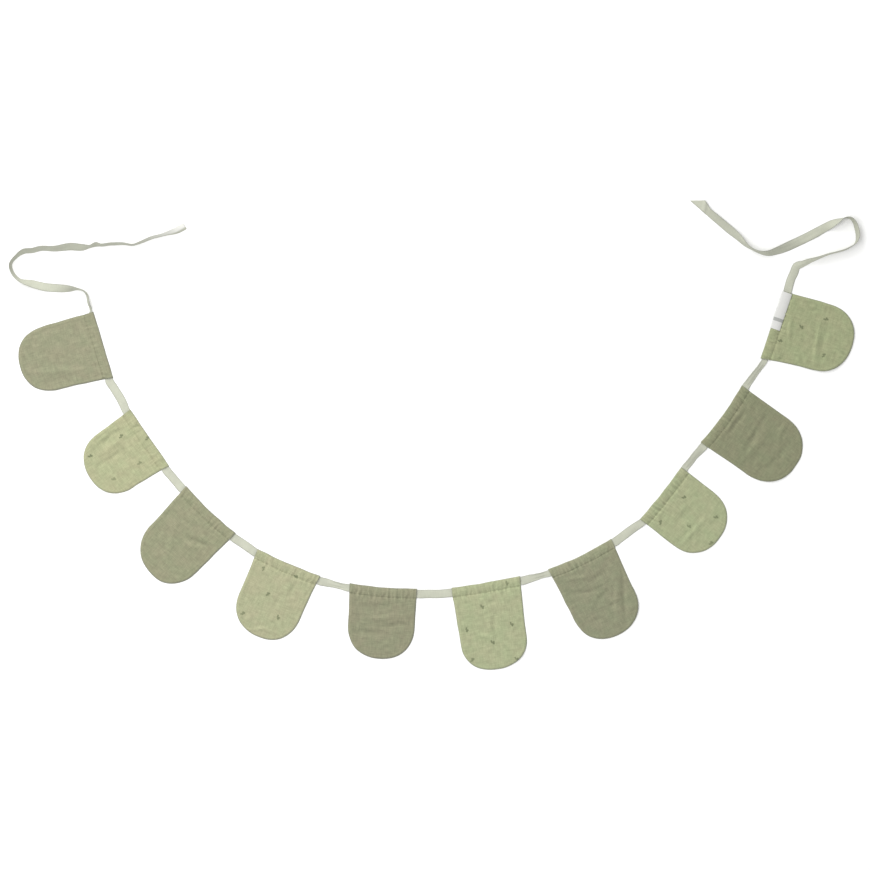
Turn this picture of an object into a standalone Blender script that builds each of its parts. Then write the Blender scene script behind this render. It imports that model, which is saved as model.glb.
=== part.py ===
"""Fabric bunting: ten round-ended muslin flags on one cotton tape, laid flat in a wide U.

Sizes are in millimetres; MM turns them into metres where points are made. +Z is up.
The origin is on the surface that the bunting lies on, under the middle of its box.
Each flag has its own flat frame: s runs along its casing from the first top corner,
and d runs down the flag from the casing's top edge.
"""
import math
from collections import namedtuple

import bmesh
import bpy

MM = 0.001

# The tape, and the casing that is sewn round it at the top of each flag.
TAPE_WIDTH = 15.0
TAPE_THICK = 1.0
CLEARANCE = 0.3
CASING_WALL = 0.9
EDGE_WALL = 1.0
TAPE_DEPTH = EDGE_WALL + CLEARANCE + TAPE_WIDTH / 2
TAPE_LIFT = CASING_WALL + CLEARANCE
TIE_STEP = 7.5
CASING_STEP = 15.0
MOUTH = 3.0
GAP_SHARES = (0.32, 0.68)

# The casing's height over the surface, from its top edge to the seam and the flag below it.
CasingRow = namedtuple("CasingRow", "d height")
CASING = [
    CasingRow(0.0, 1.6),
    CasingRow(0.6, 2.8),
    CasingRow(1.8, 3.4),
    CasingRow(4.0, 3.5),
    CasingRow(15.0, 3.5),
    CasingRow(16.8, 3.0),
    CasingRow(17.6, 1.3),
    CasingRow(19.5, 1.9),
]
CASING_FOOT = CASING[-1].d
CASING_END_DROP = 0.3

# The two-layer body of a flag, with its turned seam allowance along the edge.
BODY_THICK = 1.9
EDGE_THICK = 0.9
EDGE_ROUND = 1.6
SEAM_RIDGE = 0.35
SEAM_IN = 4.0
SEAM_SPREAD = 2.0
HEM_POWER = 2.25
BODY_ROWS = 9
HEM_INSETS = (7.0, 3.6, 1.1, 0.0)
COLUMNS = 20
SIDE_CROWDING = 0.7
SIDE_EASE = 1.3
SAG_FADE = 90.0
FOLD_FADE = 10.0

# One row a flag: its first top corner, the direction of its casing in degrees, how far the
# casing's middle bows down, the casing's length, where the sides stand at the shoulder,
# the shoulder's depth, and the place and depth of the lowest point of the round hem.
Flag = namedtuple("Flag", "x y heading bow width left right shoulder apex drop cloth")
FLAGS = [
    Flag(-615.5, 221.7, -73.2, 0.2, 124.0, -1.5, 116.0, 96.0, 58.0, 155.5, "sage"),
    Flag(-549.3, 46.1, -55.3, 0.6, 123.5, 2.5, 118.5, 72.0, 63.5, 130.0, "leaf"),
    Flag(-448.7, -92.1, -43.5, 2.9, 123.0, 2.0, 121.0, 92.0, 67.0, 158.0, "sage"),
    Flag(-319.5, -205.1, -23.4, 2.2, 122.0, 1.0, 119.5, 85.0, 63.0, 145.0, "leaf"),
    Flag(-154.7, -266.3, -4.8, 2.8, 121.5, 3.5, 123.5, 71.0, 64.0, 131.5, "sage"),
    Flag(28.3, -275.1, 9.9, 1.3, 125.5, -0.5, 119.0, 105.0, 58.5, 158.5, "leaf"),
    Flag(202.5, -241.6, 25.9, 3.8, 126.0, 2.7, 123.0, 101.0, 61.0, 161.5, "sage"),
    Flag(367.6, -151.4, 51.6, 2.2, 119.8, 0.7, 120.7, 75.0, 58.7, 133.8, "leaf"),
    Flag(477.0, -13.4, 54.2, 3.6, 126.6, 2.4, 126.4, 98.2, 64.4, 163.7, "sage"),
    Flag(585.2, 137.8, 71.7, 0.0, 127.5, 9.5, 132.0, 89.0, 72.0, 149.6, "leaf"),
]

# The main soft folds: the flag's number, both ends of the fold's line, its half width, and
# its height, which is below zero for a trough.
Fold = namedtuple("Fold", "flag s1 d1 s2 d2 spread rise")
FOLDS = [
    Fold(1, 96, 30, 70, 140, 9, 0.8),
    Fold(1, 104, 70, 92, 128, 6, -0.5),
    Fold(1, 14, 84, 24, 112, 8, 0.5),
    Fold(2, 28, 24, 28, 104, 5, -0.6),
    Fold(2, 45, 30, 42, 100, 8, 0.7),
    Fold(2, 60, 44, 54, 112, 5, -0.6),
    Fold(2, 82, 34, 72, 108, 9, 0.6),
    Fold(3, 108, 46, 66, 62, 5, -0.7),
    Fold(3, 100, 58, 64, 76, 7, 0.7),
    Fold(3, 30, 52, 58, 120, 9, 0.5),
    Fold(4, 84, 26, 84, 62, 6, -0.5),
    Fold(4, 66, 58, 64, 92, 7, -0.5),
    Fold(4, 42, 138, 82, 121, 5, 0.7),
    Fold(5, 14, 38, 78, 33, 6, -0.5),
    Fold(5, 60, 72, 114, 61, 6, -0.6),
    Fold(5, 30, 60, 92, 48, 8, 0.6),
    Fold(5, 16, 84, 72, 84, 6, -0.6),
    Fold(6, 50, 36, 82, 34, 5, -0.5),
    Fold(6, 64, 56, 62, 108, 6, -0.6),
    Fold(6, 30, 92, 60, 97, 5, 0.6),
    Fold(7, 22, 30, 60, 40, 5, 0.6),
    Fold(7, 12, 55, 70, 68, 6, -0.7),
    Fold(7, 60, 48, 92, 45, 6, -0.6),
    Fold(7, 118, 60, 80, 148, 5, -0.8),
    Fold(7, 104, 58, 70, 138, 7, 0.7),
    Fold(8, 44, 52, 74, 60, 9, -0.6),
    Fold(8, 18, 86, 76, 90, 6, 0.6),
    Fold(9, 44, 26, 96, 30, 5, -0.8),
    Fold(9, 30, 71, 106, 65, 6, -0.6),
    Fold(9, 28, 80, 76, 84, 8, 0.7),
    Fold(9, 86, 110, 114, 99, 6, 0.6),
    Fold(9, 30, 124, 88, 128, 7, -0.5),
    Fold(10, 24, 41, 58, 36, 6, -0.5),
    Fold(10, 20, 92, 100, 78, 5, 0.7),
    Fold(10, 24, 102, 104, 92, 7, -0.4),
]

# The two ties, from each free end or casing to the other, by hand. Roll is how far the tape
# turns about its own line: 0 is flat, 90 stands on its left edge and -90 on its right edge.
TieRow = namedtuple("TieRow", "x y roll")
FIRST_TIE = [
    TieRow(-453.5, 371.5, 122),
    TieRow(-463.0, 367.0, 108),
    TieRow(-485.0, 361.0, 96),
    TieRow(-513.0, 354.5, 92),
    TieRow(-532.0, 346.0, 96),
    TieRow(-543.5, 342.3, 88),
    TieRow(-561.0, 344.2, 84),
    TieRow(-583.0, 344.2, 90),
    TieRow(-602.0, 342.4, 78),
    TieRow(-611.0, 343.0, 66),
    TieRow(-620.0, 340.4, 78),
    TieRow(-635.0, 338.6, 46),
    TieRow(-655.0, 338.6, 44),
    TieRow(-687.0, 335.6, 53),
    TieRow(-711.0, 335.8, 57),
    TieRow(-726.0, 332.2, 50),
    TieRow(-740.0, 330.6, 52),
    TieRow(-754.0, 322.0, 68),
    TieRow(-763.7, 306.0, 80),
    TieRow(-760.8, 291.0, 78),
    TieRow(-748.0, 278.8, 66),
    TieRow(-727.0, 270.4, 26),
    TieRow(-703.0, 266.2, 4),
    TieRow(-680.0, 264.4, 0),
    TieRow(-659.0, 264.6, -12),
    TieRow(-644.0, 262.8, -44),
    TieRow(-633.6, 258.4, -74),
    TieRow(-627.0, 250.6, -82),
    TieRow(-623.0, 241.0, -82),
    TieRow(-621.6, 233.0, -66),
]
LAST_TIE = [
    TieRow(642.6, 280.0, 0),
    TieRow(646.4, 293.0, -10),
    TieRow(650.6, 303.4, -46),
    TieRow(658.6, 310.6, -72),
    TieRow(670.0, 314.6, -78),
    TieRow(686.0, 319.4, -82),
    TieRow(707.0, 327.0, -82),
    TieRow(728.0, 333.6, -84),
    TieRow(744.0, 339.0, -94),
    TieRow(755.4, 347.0, -116),
    TieRow(760.2, 359.0, -130),
    TieRow(758.8, 371.0, -130),
    TieRow(754.0, 382.0, -116),
    TieRow(746.0, 388.8, -98),
    TieRow(737.0, 389.6, -82),
    TieRow(725.0, 384.8, -46),
    TieRow(706.5, 376.2, -8),
    TieRow(681.0, 364.0, -2),
    TieRow(656.5, 351.4, 0),
    TieRow(632.5, 338.6, 8),
    TieRow(616.0, 331.6, 26),
    TieRow(598.5, 327.0, 50),
    TieRow(584.0, 328.6, 70),
    TieRow(571.0, 334.8, 72),
    TieRow(558.8, 344.0, 56),
    TieRow(546.0, 356.4, 22),
    TieRow(529.4, 369.8, 4),
    TieRow(508.0, 388.4, 2),
    TieRow(492.4, 403.4, 4),
    TieRow(471.6, 421.6, 8),
    TieRow(453.0, 433.4, 8),
]
SLANT_CUT_Y = 422.6
SLANT_CUT_X = 470.0
SLANT_CUT_SIZE = 70.0

# The woven label on the last flag's casing, a little proud of the casing's top edge.
LABEL_START = 59.0
LABEL_END = 126.0
LABEL_DEPTHS = (-1.2, 1.8, 4.0, 15.0, 16.2)
LABEL_THICK = 0.9
LABEL_COLUMNS = 9

CLOTH_COLOURS = {"sage": (0.33, 0.34, 0.22, 1.0), "leaf": (0.45, 0.48, 0.29, 1.0)}
TAPE_COLOUR = (0.60, 0.62, 0.50, 1.0)
LABEL_COLOUR = (0.86, 0.86, 0.83, 1.0)
CLOTH_ROUGHNESS = 0.95
SHARP_ANGLE = 40.0


def clear_scene():
    """Remove whatever the file opened with."""
    for thing in list(bpy.data.objects):
        bpy.data.objects.remove(thing, do_unlink=True)


def new_collection(name):
    """Make a collection and link it to the scene."""
    collection = bpy.data.collections.new(name)
    bpy.context.scene.collection.children.link(collection)
    return collection


def cloth_material(name, colour):
    """A plain matt cloth finish."""
    material = bpy.data.materials.new(name)
    material.use_nodes = True
    shader = material.node_tree.nodes["Principled BSDF"]
    shader.inputs["Base Color"].default_value = colour
    shader.inputs["Roughness"].default_value = CLOTH_ROUGHNESS
    shader.inputs["Metallic"].default_value = 0.0
    return material


def add_object(name, mesh, collection):
    """Put a mesh or a curve into a collection as one named object."""
    thing = bpy.data.objects.new(name, mesh)
    collection.objects.link(thing)
    return thing


def finish_piece(piece, material):
    """Give a piece its material and smooth faces with sharp turns kept."""
    piece.data.materials.append(material)
    piece.data.shade_smooth()
    piece.data.set_sharp_from_angle(angle=math.radians(SHARP_ANGLE))


# --- A flag's outline -----------------------------------------------------------------------

def hem_curve(flag, s):
    """Depth of the round hem under s, a quarter of a rounded oval on each side of the apex."""
    half = flag.apex - flag.left if s < flag.apex else flag.right - flag.apex
    across = min(abs(s - flag.apex) / half, 1.0)
    return flag.shoulder + (flag.drop - flag.shoulder) * (1 - across ** HEM_POWER) ** (1 / HEM_POWER)


def side_edges(flag, d):
    """Where the two sides stand at depth d, eased from the casing to the shoulder and the hem."""
    if d <= flag.shoulder:
        eased = 1 - (1 - d / flag.shoulder) ** SIDE_EASE
        return flag.left * eased, flag.width + (flag.right - flag.width) * eased
    down = min((d - flag.shoulder) / (flag.drop - flag.shoulder), 1.0)
    across = (1 - down ** HEM_POWER) ** (1 / HEM_POWER)
    return flag.apex - (flag.apex - flag.left) * across, flag.apex + (flag.right - flag.apex) * across


def edge_distance(flag, s, d):
    """How far a point of the flag is from the nearest side or from the hem."""
    left, right = side_edges(flag, d)
    inward = max(min(s - left, right - s), 0.0)
    upward = max(hem_curve(flag, s) - d, 0.0)
    slope = math.hypot(inward, upward)
    return inward * upward / slope if slope > 0 else 0.0


def place(flag, s, d):
    """Turn a flag's own s and d into the bunting's x and y, with the casing's bow."""
    middle = 4 * (s / flag.width) * (1 - s / flag.width)
    down = d + flag.bow * middle * max(1 - d / SAG_FADE, 0.0)
    turn = math.radians(flag.heading)
    x = flag.x + s * math.cos(turn) + down * math.sin(turn)
    y = flag.y + s * math.sin(turn) - down * math.cos(turn)
    return x, y


# --- A flag's thickness ---------------------------------------------------------------------

def casing_height(d):
    """Height of the casing's outer face at depth d."""
    for upper, lower in zip(CASING, CASING[1:]):
        if d <= lower.d:
            share = (d - upper.d) / (lower.d - upper.d)
            return upper.height + share * (lower.height - upper.height)
    return CASING[-1].height


def fold_height(number, s, d):
    """Sum of the soft folds of one flag at a point."""
    total = 0.0
    for fold in FOLDS:
        if fold.flag != number:
            continue
        along_s = fold.s2 - fold.s1
        along_d = fold.d2 - fold.d1
        share = ((s - fold.s1) * along_s + (d - fold.d1) * along_d) / (along_s ** 2 + along_d ** 2)
        share = min(max(share, 0.0), 1.0)
        away = math.hypot(s - fold.s1 - share * along_s, d - fold.d1 - share * along_d)
        total += fold.rise * math.exp(-(away / fold.spread) ** 2)
    return total


def cloth_height(number, flag, s, d):
    """Height of a flag's upper face over the surface."""
    rim = edge_distance(flag, s, d)
    rounding = 1 - math.sin(min(rim / EDGE_ROUND, 1.0) * math.pi / 2)
    if d < CASING_FOOT:
        return casing_height(d) - CASING_END_DROP * rounding
    ridge = SEAM_RIDGE * math.exp(-((rim - SEAM_IN) / SEAM_SPREAD) ** 2)
    fade = min(rim / FOLD_FADE, 1.0) * min((d - CASING_FOOT) / FOLD_FADE, 1.0)
    full = BODY_THICK + ridge + fade * fold_height(number, s, d)
    return full - (full - EDGE_THICK) * rounding


def row_depths(flag, hem):
    """Depths of the rows of points down one column of a flag."""
    body = hem - HEM_INSETS[0] - CASING_FOOT
    rows = [row.d for row in CASING]
    rows += [CASING_FOOT + body * step / BODY_ROWS for step in range(1, BODY_ROWS)]
    rows += [hem - inset for inset in HEM_INSETS]
    return rows


def crowded(share):
    """Move evenly spaced columns towards both sides, where the outline turns."""
    return SIDE_CROWDING * (0.5 - 0.5 * math.cos(math.pi * share)) + (1 - SIDE_CROWDING) * share


def flag_mesh(number, flag):
    """A grid bent to the flag's outline and folds, closed by a flat underside."""
    rows = len(CASING) + BODY_ROWS - 1 + len(HEM_INSETS)
    shape = bmesh.new()
    bmesh.ops.create_grid(shape, x_segments=COLUMNS, y_segments=rows - 1, size=0.5)
    for point in shape.verts:
        share = crowded(point.co.x + 0.5)
        row = round((0.5 - point.co.y) * (rows - 1))
        hem = hem_curve(flag, flag.left + share * (flag.right - flag.left))
        d = row_depths(flag, hem)[row]
        left, right = side_edges(flag, min(d, flag.shoulder))
        s = left + share * (right - left)
        x, y = place(flag, s, d)
        point.co = (x * MM, y * MM, cloth_height(number, flag, s, d) * MM)
    sole = bmesh.ops.extrude_face_region(shape, geom=shape.faces[:], use_keep_orig=True)["geom"]
    for point in [part for part in sole if isinstance(part, bmesh.types.BMVert)]:
        point.co.z = 0.0
    bmesh.ops.dissolve_faces(shape, faces=[part for part in sole if isinstance(part, bmesh.types.BMFace)])
    bmesh.ops.recalc_face_normals(shape, faces=shape.faces[:])
    mesh = bpy.data.meshes.new("flag_%d" % number)
    shape.to_mesh(mesh)
    shape.free()
    return mesh


# --- The tape's route -----------------------------------------------------------------------

RoutePoint = namedtuple("RoutePoint", "x y roll lift")


def casing_route(flag):
    """The tape's line through one flag's casing, lifted by the wall under it."""
    inside = [share * flag.width for share in (0.25, 0.5, 0.75)]
    stations = [-MOUTH] + inside + [flag.width + MOUTH]
    return [RoutePoint(*place(flag, s, TAPE_DEPTH), 0.0, TAPE_LIFT) for s in stations]


def gap_route(before, after):
    """Points on the surface between the mouths of two casings."""
    return [RoutePoint(before.x + share * (after.x - before.x), before.y + share * (after.y - before.y),
                       0.0, 0.0) for share in GAP_SHARES]


def smooth_slopes(knots, values):
    """Slopes of a smooth curve through values, level at the ends of a flat run."""
    steps = [(b - a) / (u - t) for a, b, t, u in zip(values, values[1:], knots, knots[1:])]
    slopes = [steps[0]]
    for index in range(1, len(steps)):
        before = knots[index] - knots[index - 1]
        after = knots[index + 1] - knots[index]
        blend = (steps[index - 1] * after + steps[index] * before) / (before + after)
        level = steps[index - 1] == 0 or steps[index] == 0
        slopes.append(0.0 if level else blend)
    return slopes + [steps[-1]]


def curve_value(share, length, start, end, slope_start, slope_end):
    """A cubic between two values with given slopes."""
    square = share * share
    cube = square * share
    return ((2 * cube - 3 * square + 1) * start + (cube - 2 * square + share) * length * slope_start
            + (3 * square - 2 * cube) * end + (cube - square) * length * slope_end)


def tape_route():
    """Points along the whole tape, from the first free end to the last."""
    points = [RoutePoint(*row, 0.0) for row in FIRST_TIE]
    for number, flag in enumerate(FLAGS):
        stretch = casing_route(flag)
        if number > 0:
            points += gap_route(points[-1], stretch[0])
        points += stretch
    points += [RoutePoint(*row, 0.0) for row in LAST_TIE]
    knots = [0.0]
    for here, there in zip(points, points[1:]):
        knots.append(knots[-1] + math.hypot(there.x - here.x, there.y - here.y))
    tracks = [smooth_slopes(knots, [point[axis] for point in points]) for axis in range(3)]
    route = []
    for index in range(len(points) - 1):
        length = knots[index + 1] - knots[index]
        in_casing = points[index].lift > 0 and points[index + 1].lift > 0
        step = CASING_STEP if in_casing else TIE_STEP
        count = max(1, round(length / step))
        for part in range(count):
            share = part / count
            values = [curve_value(share, length, points[index][axis], points[index + 1][axis],
                                  tracks[axis][index], tracks[axis][index + 1]) for axis in range(3)]
            eased = share * share * (3 - 2 * share)
            lift = points[index].lift + eased * (points[index + 1].lift - points[index].lift)
            route.append(RoutePoint(*values, lift))
    return route + [points[-1]]


def ribbon_mesh(name, route, width, thick, collection):
    """A flat ribbon along a route, lying on its lowest edge, thickened on both faces."""
    line = bpy.data.curves.new(name, "CURVE")
    line.dimensions = "3D"
    line.twist_mode = "Z_UP"
    line.extrude = width / 2 * MM
    spline = line.splines.new("POLY")
    spline.points.add(len(route) - 1)
    for knot, point in zip(spline.points, route):
        roll = math.radians(point.roll)
        height = point.lift + abs(math.sin(roll)) * TAPE_WIDTH / 2 + abs(math.cos(roll)) * TAPE_THICK / 2
        knot.co = (point.x * MM, point.y * MM, height * MM, 1.0)
        knot.tilt = math.pi / 2 - roll
    ribbon = add_object(name, line, collection)
    skin = ribbon.modifiers.new("Thickness", "SOLIDIFY")
    skin.thickness = thick * MM
    skin.offset = 0.0
    mesh = bpy.data.meshes.new_from_object(ribbon.evaluated_get(bpy.context.evaluated_depsgraph_get()))
    bpy.data.objects.remove(ribbon, do_unlink=True)
    for corner in mesh.vertices:
        corner.co.z = max(corner.co.z, 0.0)
    return mesh


# --- The pieces -----------------------------------------------------------------------------

def make_cutter(name, mesh, collection):
    """Keep a cutting shape out of the model."""
    cutter = add_object(name, mesh, collection)
    cutter.display_type = "WIRE"
    cutter.hide_render = True
    return cutter


def cut(piece, cutter):
    """Subtract a cutter from a piece."""
    boolean = piece.modifiers.new(cutter.name, "BOOLEAN")
    boolean.operation = "DIFFERENCE"
    boolean.solver = "EXACT"
    boolean.object = cutter


def make_flag(number, flag, route, pieces, cutters):
    """One flag with the tunnel that the tape runs through."""
    piece = add_object("flag_%d" % number, flag_mesh(number, flag), pieces)
    turn = math.radians(flag.heading)
    inside = []
    for point in route:
        s = (point.x - flag.x) * math.cos(turn) + (point.y - flag.y) * math.sin(turn)
        d = (point.x - flag.x) * math.sin(turn) - (point.y - flag.y) * math.cos(turn)
        if -CASING_STEP < s < flag.width + CASING_STEP and 0 < d < 2 * TAPE_DEPTH:
            inside.append(point._replace(roll=0.0, lift=TAPE_LIFT))
    name = "tunnel_%d" % number
    tunnel = ribbon_mesh(name, inside, TAPE_WIDTH + 2 * CLEARANCE, TAPE_THICK + 2 * CLEARANCE, cutters)
    cut(piece, make_cutter(name, tunnel, cutters))
    finish_piece(piece, cloth_material("muslin_%s_%d" % (flag.cloth, number), CLOTH_COLOURS[flag.cloth]))


def make_tape(route, pieces, cutters):
    """The one tape with both ties, its last end cut on the slant."""
    mesh = ribbon_mesh("tape", route, TAPE_WIDTH, TAPE_THICK, pieces)
    piece = add_object("tape", mesh, pieces)
    block = bmesh.new()
    bmesh.ops.create_cube(block, size=SLANT_CUT_SIZE * MM)
    bmesh.ops.translate(block, verts=block.verts,
                        vec=(SLANT_CUT_X * MM, (SLANT_CUT_Y + SLANT_CUT_SIZE / 2) * MM, 0.0))
    shape = bpy.data.meshes.new("slant_cut")
    block.to_mesh(shape)
    block.free()
    cut(piece, make_cutter("slant_cut", shape, cutters))
    finish_piece(piece, cloth_material("cotton_tape", TAPE_COLOUR))


def make_label(pieces):
    """The woven label that lies on the last flag's casing."""
    flag = FLAGS[-1]
    rows = len(LABEL_DEPTHS) - 1
    shape = bmesh.new()
    bmesh.ops.create_grid(shape, x_segments=LABEL_COLUMNS, y_segments=rows, size=0.5)
    for point in shape.verts:
        s = LABEL_START + (point.co.x + 0.5) * (LABEL_END - LABEL_START)
        d = LABEL_DEPTHS[round((0.5 - point.co.y) * rows)]
        x, y = place(flag, s, d)
        point.co = (x * MM, y * MM, (casing_height(max(d, LABEL_DEPTHS[1])) + CLEARANCE) * MM)
    mesh = bpy.data.meshes.new("label")
    shape.to_mesh(mesh)
    shape.free()
    piece = add_object("label", mesh, pieces)
    skin = piece.modifiers.new("Thickness", "SOLIDIFY")
    skin.thickness = LABEL_THICK * MM
    skin.offset = 1.0
    finish_piece(piece, cloth_material("woven_label", LABEL_COLOUR))


def main():
    """Build the flags, the tape and the label."""
    clear_scene()
    pieces = new_collection("fabric_bunting")
    cutters = new_collection("cutters")
    route = tape_route()
    for number, flag in enumerate(FLAGS, start=1):
        make_flag(number, flag, route, pieces, cutters)
    make_tape(route, pieces, cutters)
    make_label(pieces)


main()
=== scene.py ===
"""The looks of a fabric bunting: ten round-ended muslin flags on one cotton tape, laid in a U.

Sizes are in millimetres and angles in degrees; MM turns a size into metres. Each flag has its
own flat frame: s runs along its casing from the first top corner, and d runs down the flag.
"""
import math
from collections import namedtuple

import bmesh
import bpy
import numpy as np
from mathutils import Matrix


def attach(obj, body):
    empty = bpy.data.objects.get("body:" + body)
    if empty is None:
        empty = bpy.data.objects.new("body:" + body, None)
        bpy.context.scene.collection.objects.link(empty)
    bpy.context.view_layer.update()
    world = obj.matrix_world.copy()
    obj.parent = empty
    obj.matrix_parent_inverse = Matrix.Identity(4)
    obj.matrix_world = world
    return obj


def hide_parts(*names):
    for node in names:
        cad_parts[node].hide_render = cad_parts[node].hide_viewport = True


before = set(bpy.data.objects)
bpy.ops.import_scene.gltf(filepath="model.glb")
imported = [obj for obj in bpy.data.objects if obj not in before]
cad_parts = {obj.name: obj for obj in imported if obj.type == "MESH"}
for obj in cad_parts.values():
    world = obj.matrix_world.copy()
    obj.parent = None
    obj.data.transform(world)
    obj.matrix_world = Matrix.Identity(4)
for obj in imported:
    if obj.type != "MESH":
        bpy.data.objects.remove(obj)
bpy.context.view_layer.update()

MM = 0.001


# === The ten flags ===========================================================================
# Each flag is two layers of crinkled cotton muslin, sewn together along the sides and the
# round hem and turned the right way out. Its top is folded to the back as a casing, and one
# seam closes the casing round the tape. Plain sage flags take turns with leaf-printed ones.

# A row gives the first top corner and the casing's heading, how far the top edge bows down, the casing's
# width, the places where both sides end and their depth, the hem's lowest place and its depth, the cloth,
# and how strong the seam's gathers, the painted shade along the sewn edge and the casing's tone are.
Flag = namedtuple("Flag", "number x y heading bow width left right shoulder apex drop cloth "
                          "gather rim casing_tone")
FLAGS = [
    Flag(1, -615.5, 221.7, -73.2, 0.2, 124.0, -1.5, 116.0, 96.0, 58.0, 155.5, "sage", 0.75, 0.65, 1.00),
    Flag(2, -549.3, 46.1, -55.3, 0.6, 123.5, 2.5, 118.5, 72.0, 63.5, 130.0, "leaf", 0.75, 0.50, 1.00),
    Flag(3, -448.7, -92.1, -43.5, 2.9, 123.0, 2.0, 121.0, 92.0, 67.0, 158.0, "sage", 0.95, 0.60, 1.02),
    Flag(4, -319.5, -205.1, -23.4, 2.2, 122.0, 1.0, 119.5, 85.0, 63.0, 145.0, "leaf", 1.10, 0.65, 1.00),
    Flag(5, -154.7, -266.3, -4.8, 2.8, 121.5, 3.5, 123.5, 71.0, 64.0, 131.5, "sage", 1.50, 0.55, 1.06),
    Flag(6, 28.3, -275.1, 9.9, 1.3, 125.5, -0.5, 119.0, 105.0, 58.5, 158.5, "leaf", 1.05, 0.50, 1.00),
    Flag(7, 202.5, -241.6, 25.9, 3.8, 126.0, 2.7, 123.0, 101.0, 61.0, 161.5, "sage", 1.30, 0.25, 1.15),
    Flag(8, 367.6, -151.4, 51.6, 2.2, 119.8, 0.7, 120.7, 75.0, 58.7, 133.8, "leaf", 1.00, 0.40, 0.95),
    Flag(9, 477.0, -13.4, 54.2, 3.6, 126.6, 2.4, 126.4, 98.2, 64.4, 163.7, "sage", 1.10, 0.20, 1.11),
    Flag(10, 585.2, 137.8, 71.7, 0.0, 127.5, 9.5, 132.0, 89.0, 72.0, 149.6, "leaf", 1.00, 0.50, 1.00),
]
# The hem is a round arch of this power, and the sides ease in to it. The bow fades out down the
# flag, and the sewn edges waver.
HEM_POWER = 2.25
SIDE_EASE = 1.3
BOW_FADE = 90.0
EDGE_WAVER = 0.45
WAVER_SIZES = (17.0, 23.0)

# The casing, from its top fold to the seam: the outer cloth's upper and lower face, and the
# tunnel's depth, roof and floor beside them.
Casing = namedtuple("Casing", "d top low inner_d roof floor")
CASING = [
    Casing(0.0, 1.3, 1.3, 0.9, 1.3, 1.3),
    Casing(0.22, 1.95, 0.75, 1.0, 1.6, 1.05),
    Casing(0.7, 2.5, 0.3, 1.2, 1.95, 0.95),
    Casing(1.6, 3.0, 0.08, 2.0, 2.4, 0.9),
    Casing(3.2, 3.5, 0.0, 3.4, 2.9, 0.9),
    Casing(5.2, 3.9, 0.0, 5.2, 3.3, 0.9),
    Casing(7.4, 4.05, 0.0, 7.4, 3.4, 0.9),
    Casing(9.6, 3.95, 0.0, 9.6, 3.35, 0.9),
    Casing(11.8, 3.6, 0.0, 11.8, 3.0, 0.9),
    Casing(13.6, 3.2, 0.0, 13.5, 2.6, 0.9),
    Casing(15.0, 2.8, 0.0, 15.0, 2.3, 0.9),
    Casing(16.2, 2.3, 0.0, 16.0, 1.85, 0.95),
    Casing(17.1, 1.8, 0.0, 16.6, 1.4, 1.4),
]
# The outer face from the groove of the seam to where the body begins.
SEAM_DEPTH = 17.6
CASING_FOOT = 19.6
BODY_THICK = 2.7
Seam = namedtuple("Seam", "d top")
SEAM = [Seam(SEAM_DEPTH, 1.55), Seam(18.2, 1.85), Seam(18.9, 2.25), Seam(CASING_FOOT, BODY_THICK)]

# Soft folds: both ends of the fold's line, its half width, and its height, below zero for a
# trough. Lifted places are where both layers stand off the surface a little.
Fold = namedtuple("Fold", "flag s1 d1 s2 d2 spread rise")
FOLDS = [
    Fold(1, 96, 30, 70, 140, 9, 0.8),
    Fold(1, 104, 70, 92, 128, 6, -0.5),
    Fold(1, 14, 84, 24, 112, 8, 0.5),
    Fold(2, 17, 32, 22, 98, 4.5, -0.7),
    Fold(2, 32, 30, 35, 100, 7, 0.6),
    Fold(2, 52, 50, 50, 108, 5, -0.6),
    Fold(2, 82, 34, 72, 108, 9, 0.6),
    Fold(3, 108, 46, 66, 62, 5, -0.7),
    Fold(3, 100, 58, 64, 76, 7, 0.7),
    Fold(3, 30, 52, 58, 120, 9, 0.5),
    Fold(4, 84, 26, 84, 62, 6, -0.5),
    Fold(4, 66, 58, 64, 92, 7, -0.5),
    Fold(4, 42, 138, 82, 121, 5, 0.7),
    Fold(5, 14, 38, 78, 33, 6, -0.5),
    Fold(5, 60, 72, 114, 61, 6, -0.6),
    Fold(5, 30, 60, 92, 48, 8, 0.6),
    Fold(5, 16, 84, 72, 84, 6, -0.6),
    Fold(6, 50, 36, 82, 34, 5, -0.5),
    Fold(6, 64, 56, 62, 108, 6, -0.6),
    Fold(6, 30, 92, 60, 97, 5, 0.6),
    Fold(7, 22, 30, 60, 40, 5, 0.6),
    Fold(7, 12, 55, 70, 68, 6, -0.7),
    Fold(7, 60, 48, 92, 45, 6, -0.6),
    Fold(7, 118, 60, 80, 148, 5, -0.8),
    Fold(7, 104, 58, 70, 138, 7, 0.7),
    Fold(7, 52, 88, 76, 81, 5, -0.5),
    Fold(7, 68, 109, 96, 105, 5, -0.5),
    Fold(8, 44, 52, 74, 60, 9, -0.6),
    Fold(8, 18, 86, 76, 90, 6, 0.6),
    Fold(9, 44, 26, 96, 30, 4, -0.8),
    Fold(9, 50, 21, 88, 22, 3, 0.6),
    Fold(9, 30, 71, 106, 65, 6, -0.6),
    Fold(9, 28, 80, 76, 84, 8, 0.7),
    Fold(9, 86, 110, 114, 99, 6, 0.6),
    Fold(9, 30, 124, 88, 128, 7, -0.5),
    Fold(10, 24, 41, 58, 36, 6, -0.5),
    Fold(10, 20, 92, 100, 78, 4, 0.45),
    Fold(10, 24, 102, 104, 92, 7, -0.4),
    Fold(10, 26, 41, 88, 27, 3.5, 0.5),
    Fold(10, 112, 55, 116, 72, 4, -0.5),
]
Lift = namedtuple("Lift", "flag s d spread rise")
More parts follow.
